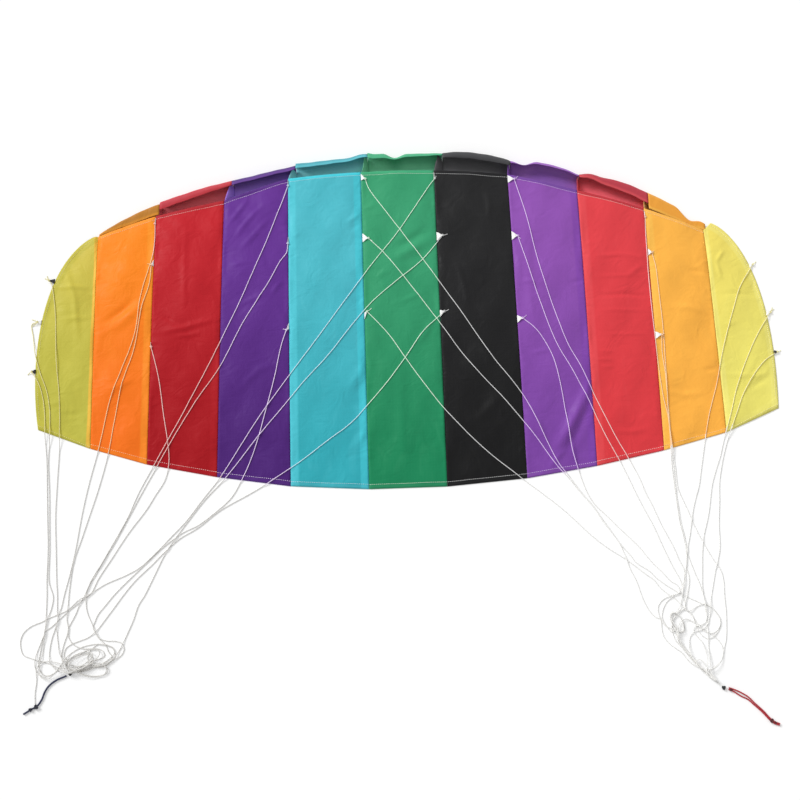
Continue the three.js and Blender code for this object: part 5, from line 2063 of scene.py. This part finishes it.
@dataclass
class TowLoops:
    """The loops that the flying lines hook on to, one on each side."""

    step: float = 1.5
    twist: float = 34.0
    open: float = 2.1  # how far the strands part, where, and over what length
    open_at: float = 24.0
    open_reach: float = 13.0
    leader: float = 0.7  # radius of the leader from the gathered lines to the right loop
    leader_gap: float = 1.0
    knot_cord: float = 0.46  # shares of a knot's size: its cord, its height and its width
    knot_high: float = 0.92
    knot_wide: float = 0.85

    def strands(self, row: TowRow, middle: Array) -> list[Array]:
        """Gives the strands of a loop.

        Args:
            row: which loop.
            middle: its middle line.

        Returns:
            The line of each strand.
        """
        if row.strands == 1:
            return [middle]
        along = along_of(middle)
        way = np.gradient(middle[:, :2], axis=0)
        way = way / np.linalg.norm(way, axis=1)[:, None]
        side = np.stack([-way[:, 1], way[:, 0]], axis=1)
        turn = 0.5 * np.sin(along / self.twist * 2) + 0.25
        made = []
        spread = row.radius * 1.02 + self.open * np.exp(-(((along - self.open_at) / self.open_reach) ** 2))
        for sign in (-1, 1):
            plan = middle[:, :2] + side * (sign * spread * np.cos(turn))[:, None]
            lift = sign * row.radius * np.sin(turn)
            made.append(np.column_stack([plan, middle[:, 2] + lift]))
        return made

    def build(self, cords: dict[str, Material], ends: dict[str, Material], dark: Material,
              line: Material) -> None:
        """Makes both loops with their knots.

        Args:
            cords: the finish of each loop, by its slot.
            ends: the finish of the knots at its far end, by its slot.
            dark: the finish of the knots next to the lines.
            line: the finish of the leader on the right.
        """
        for row in TOWS:
            plan = rounded(np.array(row.path, float), self.step)
            high = row.radius * (1 if row.strands == 1 else 1.9) + 0.15
            middle = np.column_stack([plan, np.full(len(plan), high)])
            cord = CordPiece(row.name, row.radius, 2)
            for strand in self.strands(row, middle):
                cord.add(strand)
            piece = cord.build(cords[row.slot])
            if row.strands > 1:
                piece = self.as_mesh(piece)
            knots = self.knots(row, ends[row.slot], dark)
            publish(piece, (row.node,))
        leader = CordPiece("Line_Leader_Right", self.leader)
        for off in (-self.leader_gap, self.leader_gap):
            route = np.array([[*RIGHT_GATHER, 2.4], [505 + off, -667 - off, 1.6], [*RIGHT_KNOT, 2.6]], float)
            route[0, 0] += off
            leader.add(rounded(route, 1.2))
        leader.add(CordPiece.trefoil(np.array([*RIGHT_GATHER, 3.4]), 2.4, 0.4), closed=True)
        publish(leader.build(line))

    def as_mesh(self, piece: Piece) -> Piece:
        """Turns a curve of several strands into one mesh.

        Args:
            piece: the curve, which is removed.

        Returns:
            The mesh object, with the curve's name.
        """
        mesh = bpy.data.meshes.new_from_object(piece)
        mesh.name = piece.name
        name, curve = piece.name, piece.data
        bpy.data.objects.remove(piece)
        bpy.data.curves.remove(curve)
        return bpy.data.objects.new(name, mesh)

    def knots(self, row: TowRow, cord: Material, dark: Material) -> list[Piece]:
        """Makes the knots of a loop.

        Args:
            row: which loop.
            cord: the finish of those at its far end.
            dark: the finish of those next to the lines.

        Returns:
            The knots.
        """
        made = []
        for k, (x, y, size, black) in enumerate(row.knots):
            knot = CordPiece(f"{row.name.replace('Cord', 'Knot')}_{k + 1}", size * self.knot_cord, 2)
            middle = np.array([x, y, size * self.knot_high])
            knot.add(CordPiece.trefoil(middle, size * self.knot_wide, 1.1 * k), closed=True)
            piece = knot.build(dark if black else cord)
            made.append(publish(piece))
        return made


# ---- The studio -------------------------------------------------------------------------------


@dataclass
class Studio:
    """Camera, soft light and the pale floor."""

    target: tuple[float, float, float] = (-0.016, -0.156, 0.0)
    azimuth: float = -2.0
    elevation: float = 75.0
    distance: float = 2.282
    lens: float = 57.15
    sensor: float = 36.0
    sky: float = 0.56
    sun: float = 2.3
    sun_size: float = 24.0
    sun_from: tuple[float, float, float] = (-0.78, 0.62, 0.72)
    floor_size: float = 6.0
    floor_drop: float = 0.0002  # how far the floor lies under the kite

    def aim(self, piece: Piece, place: Vector, back: Vector) -> None:
        """Shows a camera or lamp.

        Args:
            piece: the camera or lamp.
            place: where it stands.
            back: the way opposite to where it looks.
        """
        piece.location = place
        piece.rotation_mode = "QUATERNION"
        piece.rotation_quaternion = (-back).to_track_quat("-Z", "Y")
        shown(piece)

    def camera(self) -> None:
        """Makes the camera."""
        a, e = math.radians(self.azimuth), math.radians(self.elevation)
        back = Vector((math.sin(a) * math.cos(e), -math.cos(a) * math.cos(e), math.sin(e)))
        data = bpy.data.cameras.new("Camera")
        data.lens = self.lens
        data.sensor_width = self.sensor
        eye = bpy.data.objects.new("Camera", data)
        self.aim(eye, Vector(self.target) + back * self.distance, back)
        bpy.context.scene.camera = eye

    def lights(self) -> None:
        """Makes the sky, which is plain white to the camera, and the key lamp."""
        world = bpy.data.worlds.new("Sky")
        world.use_nodes = True
        nodes, links = world.node_tree.nodes, world.node_tree.links
        background = nodes["Background"]
        background.inputs["Color"].default_value = (1, 1, 1, 1)
        path = nodes.new("ShaderNodeLightPath")
        seen = path.outputs["Is Camera Ray"]
        for ray in ("Is Glossy Ray", "Is Transmission Ray"):
            both = nodes.new("ShaderNodeMath")
            both.operation = "MAXIMUM"
            links.new(seen, both.inputs[0])
            links.new(path.outputs[ray], both.inputs[1])
            seen = both.outputs[0]
        level = nodes.new("ShaderNodeMapRange")
        links.new(seen, level.inputs["Value"])
        level.inputs["To Min"].default_value = self.sky
        level.inputs["To Max"].default_value = 1.0
        links.new(level.outputs[0], background.inputs["Strength"])
        bpy.context.scene.world = world
        data = bpy.data.lights.new("Key", "SUN")
        data.energy = self.sun
        data.angle = math.radians(self.sun_size)
        self.aim(bpy.data.objects.new("Key", data), Vector(self.sun_from), Vector(self.sun_from))

    def floor(self) -> None:
        """Makes the floor."""
        net = bmesh.new()
        bmesh.ops.create_grid(net, x_segments=2, y_segments=2, size=self.floor_size)
        bmesh.ops.translate(net, verts=net.verts, vec=(0, 0, -self.floor_drop))
        mesh = mesh_of(net, "Floor", FloorFinish().material("Pale floor"), shaded=False)
        shown(bpy.data.objects.new("Floor", mesh))

    def build(self) -> None:
        """Makes everything round the kite."""
        self.camera()
        self.lights()
        self.floor()
        bpy.context.scene.view_settings.view_transform = "Standard"
        LOG.info("Camera, lights and floor made")


def main() -> None:
    """Builds the kite piece by piece."""
    logging.basicConfig(level=logging.INFO, format="%(message)s")
    canopy = Canopy()
    Studio().build()
    # The bridle cord is painted greyer on the left half of the floor than on the right, as painted shade and
    # light.
    line = CordFinish("line", "e2e0dc", "bebcb6", "f6f5f2", LIT_CORD).material("Bridle cord")
    # The white thread is painted in the cloth's tints over the kite, as painted light.
    thread = CordFinish("line", "ffffff", "e4e2de", over=LIT_CORD, shore=-0.4).material("White thread")
    tape = TapeFinish("tape", "ffffff", "e8e6de").material("White tape")
    dark = TapeFinish("tape_black", "202022", "0c0c0e").material("Black tape")
    cords = {
        "tow_blue": CordFinish("tow_blue", "161e44", "0a0e28").material("Blue tow cord"),
        "tow_red": CordFinish("tow_red", "b81c2c", "6e0c18").material("Red tow cord"),
    }
    ends = {
        "tow_blue": CordFinish("tow_blue", "0c1026", "06081a").material("Blue tow knots"),
        "tow_red": CordFinish("tow_red", "5a1418", "300a10").material("Red tow knots"),
    }
    tabs = BridleTabs(canopy)
    tabs.build(tape, dark, line)
    Bridle(canopy, tabs).build(line)
    TowLoops().build(cords, ends, dark, line)
    CanopyCloth(canopy, tabs=tabs.sewn).build()
    HemStitches(canopy).build(thread)


if __name__ == "__main__":
    main()
